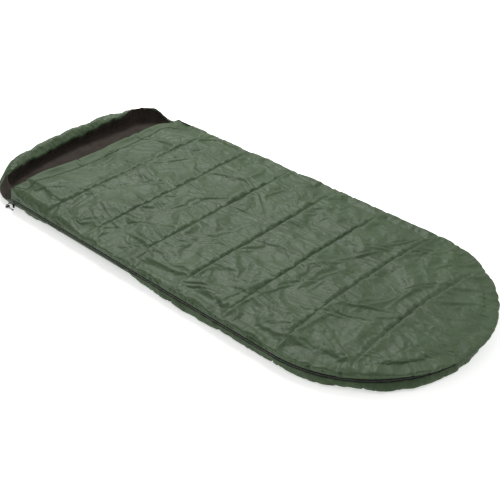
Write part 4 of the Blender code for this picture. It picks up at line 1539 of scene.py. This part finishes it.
    def dress_cord(self) -> None:
        """The drawcord in its tunnel inside the rim, and the stitches that close the tunnel."""
        s = self.sizes
        angle = np.maximum(self.turn, s.least_turn)[:, None] - math.radians(10.0)
        inward, level = self.collar(angle, -0.0045)
        cord = tube("hood_rim_drawcord", self.lift(inward, level)[:, 0], s.cord_radius, self.palette.cord)
        self.bend(cord)
        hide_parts("hood_drawcord")
        keep = np.degrees(self.turn) > 75
        line = self.outside[keep, -6]
        out = np.concatenate([self.out[keep], np.zeros((keep.sum(), 1))], 1)
        line = line + 0.0004 * out + np.array([0, 0, 0.0006])
        piece = sew("hood_tunnel_stitches", [line], self.palette.thread)
        self.bend(piece)


# ---------------------------------------------------------------- cord, zip, side seam, hard parts


class Drawcord:
    """The drawcord's free tail: out of its eyelet, down to the ground and through its lock to a knot."""

    radius = 0.0014

    def __init__(self, palette: Palette) -> None:
        """Find the eyelet and the lock that the route runs by.

        Args:
            palette: The finishes.
        """
        self.palette = palette
        eyelet = sum((np.array(c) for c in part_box("drawcord_eyelet")), np.zeros(3)) / 2
        self.eyelet = np.array([eyelet[0], -LAYOUT.half_width, eyelet[2]])
        low, high = (np.array(c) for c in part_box("cord_lock_barrel"))
        self.lock = np.array([(low[0] + high[0]) / 2, high[1] - 0.0088, (low[2] + high[2]) / 2])

    def route(self) -> Array:
        """The tail's centre line: a smooth curve through the route's points, each span a cubic.

        Returns:
            Places along it, about 2 mm apart.
        """
        e, k, low = self.eyelet, self.lock, 0.0017
        knot = np.array([k[0] + 0.0335, k[1] + 0.0008, 0.0035])
        before = np.array([k[0] + 0.0290, k[1] + 0.0004, low + 0.0010])
        last = (knot - before) / np.linalg.norm(knot - before)
        points = np.array([
            e + (0, -0.0003, 0), e + (0, -0.0035, 0), e + (-0.0010, -0.0070, -0.0008),
            e + (-0.0040, -0.0102, -0.0038), e + (-0.0085, -0.0130, -0.0085), k + (-0.0115, 0.0016, 0.0006),
            k + (-0.0075, 0.0003, 0), k + (-0.0035, 0, 0), k + (0.0040, 0, 0), k + (0.0200, 0, 0),
            k + (0.0240, 0, -0.0008), before, knot - last * 0.0035])
        padded = np.concatenate([[2 * points[0] - points[1]], points, [2 * points[-1] - points[-2]]])
        t = np.linspace(0, 1, 5, endpoint=False)[None, :, None]
        a, b, c, d = (padded[i:len(padded) - 3 + i, None, :] for i in range(4))
        square, cube = 2 * a - 5 * b + 4 * c - d, 3 * b - a - 3 * c + d
        spans = 0.5 * (2 * b + (c - a) * t + square * t ** 2 + cube * t ** 3)
        return np.concatenate([spans.reshape(-1, 3), points[-1:]])

    def build(self) -> None:
        line = self.route()
        piece = tube("drawcord_tail_cord", line, self.radius, self.palette.cord)
        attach(piece, "base")
        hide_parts("drawcord_tail")


class ZipCoils:
    """The two rows of the coil zip, as teeth that reach past the middle and lie between each other."""

    pitch = 0.0024
    rows = (("base", 1), ("top", -1))
    reach_past = 0.0006  # how far a tooth reaches past the middle

    def __init__(self, palette: Palette) -> None:
        """Keep the finishes."""
        self.palette = palette

    def path(self) -> tuple[Array, Array]:
        """The outline that the teeth stand on: the near side, then round the foot.

        Returns:
            Places and outward directions.
        """
        side = LAYOUT.foot_centre - LAYOUT.head_x
        end_turn = math.radians(172.5)
        run = np.arange(0.0006, side + LAYOUT.half_width * end_turn, self.pitch / 2)
        turn = np.maximum(run - side, 0) / LAYOUT.half_width
        x = LAYOUT.head_x + np.minimum(run, side) + LAYOUT.half_width * np.sin(turn)
        y = -LAYOUT.half_width * np.cos(turn)
        out = np.stack([np.sin(turn), -np.cos(turn), np.zeros_like(turn)], -1)
        return np.stack([x, y, np.zeros_like(x)], -1), out

    def build(self) -> None:
        """Each tooth a four-sided rod with a waist and a swollen head, three sections high."""
        place, out = self.path()
        way = np.cross(np.array([0.0, 0.0, 1.0]), out)
        for number, (body, up) in enumerate(self.rows):
            at, off, along = place[number::2], out[number::2], way[number::2]
            low, high = (np.array(c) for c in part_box(f"{body}_zip_coil"))
            if up > 0:
                start, end = low[2], high[2] + self.reach_past
            else:
                start, end = high[2], low[2] - self.reach_past
            levels = np.array([start, (start + end) / 2, end])
            thick = np.array([0.00045, 0.00040, 0.00062])
            ring = np.array([(-1, 0), (0, 1), (1, 0), (0, -1)])
            middle, deep = 0.0027, np.array([0.0013, 0.0012, 0.0010])
            aside = (ring[None, None, :, 0] * thick[None, :, None])[..., None]
            outside = (middle + ring[None, None, :, 1] * deep[None, :, None])[..., None]
            points = at[:, None, None, :] + along[:, None, None, :] * aside
            points = points + off[:, None, None, :] * outside
            points[..., 2] += levels[None, :, None]
            first = (np.arange(len(at)) * 12)[:, None, None]
            side = np.array([
                (r * 4 + c, r * 4 + (c + 1) % 4, (r + 1) * 4 + (c + 1) % 4, (r + 1) * 4 + c)
                for r in range(2) for c in range(4)])
            lids = np.array([(3, 2, 1, 0), (8, 9, 10, 11)])
            quads = (first + np.concatenate([side, lids])[None]).reshape(-1, 4)
            piece = make_piece(f"{body}_zip_teeth", points, quads, self.palette.coil)
            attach(piece, body)
            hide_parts(f"{body}_zip_coil")
            LOG.info("%s zip teeth: %d", body, len(at))


class SideSeam:
    """The sewn side: a strip of shell cloth from the base's wall to the top's, beside the folded binding on
    the base.
    """

    inset = 0.0006  # from the outline to the strip's two long edges
    swell = 0.0040  # how far the strip stands out between them
    thick = 0.0008

    def __init__(self, palette: Palette) -> None:
        """Keep the finishes."""
        self.palette = palette

    def build(self) -> None:
        """A strip from the base's wall to the top's, bowed out by a sine, with thickness."""
        y = LAYOUT.half_width
        x = np.linspace(LAYOUT.head_x + 0.004, LAYOUT.foot_centre + 0.03, 280)
        share = np.linspace(0, 1, 9)
        low, high = LAYOUT.base_top - 0.006, LAYOUT.pocket_top + 0.010
        rng = np.random.default_rng(5)
        bow = self.swell * np.sin(math.pi * share)[None, :] * (1 + 0.4 * ripple(x, 0.02, rng))[:, None]
        sheet = np.stack(np.broadcast_arrays(
            x[:, None], y - self.inset + bow, (low + (high - low) * share)[None, :]), -1)
        inner = sheet - np.array([0, self.thick, 0])
        piece = closed_sheet("side_seam_strip", sheet, inner, self.palette.shell)
        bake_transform(piece)
        LOG.info("side seam strip: %d faces", len(piece.data.polygons))


class HardParts:
    """CAD nodes whose shape is right: they stay, and get their real finish."""

    def __init__(self, palette: Palette) -> None:
        """List which shown node is made of what.

        Args:
            palette: The finishes.
        """
        p = palette
        self.finishes = {
            "base_zip_tape": p.tape, "top_zip_tape": p.tape, "base_zip_head_stop": p.enamel,
            "top_zip_head_stop": p.enamel, "zip_foot_stop": p.enamel, "side_seam_binding": p.binding,
            "drawcord_eyelet": p.enamel, "drawcord_knot": p.cord,
            "zip_head_slider": p.enamel, "zip_foot_slider": p.enamel,
            "zip_head_slider_pull_loop": p.enamel, "zip_foot_slider_pull_loop": p.enamel,
            "zip_head_slider_pull_grip": p.tape, "zip_foot_slider_pull_grip": p.tape,
            "cord_lock_barrel": p.acetal, "cord_lock_spring": p.steel, "cord_lock_plunger": p.acetal,
        }

    def dress(self) -> None:
        """Give every kept node its finish, and give the lock's spring a mesh of its own."""
        for name, finish in self.finishes.items():
            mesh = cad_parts[name].data
            mesh.materials.clear()
            mesh.materials.append(finish)
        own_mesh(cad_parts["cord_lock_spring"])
        LOG.info("dressed %d CAD nodes", len(self.finishes))


def main() -> None:
    """Build the studio, the cord, then every sub-assembly; the builders log their face counts."""
    logging.basicConfig(level=logging.INFO, format="%(name)s: %(message)s")
    bpy.context.scene.view_settings.view_transform = "Standard"
    palette = Palette()
    studio = Studio(StudioSizes())
    studio.place_camera()
    Drawcord(palette).build()
    studio.lay_floor()
    studio.hang_lights()
    TopQuilt(palette).build(ClothSettings(spare=0.034, pressure=2.1, limit=0.016))
    BaseQuilt(palette).build(ClothSettings(frames=12, limit=0.007))
    Hood(palette, HoodSizes(), ClothSettings(frames=14, spare=0.045, limit=0.007)).build()
    ZipCoils(palette).build()
    SideSeam(palette).build()
    HardParts(palette).dress()


if __name__ == "__main__":
    main()
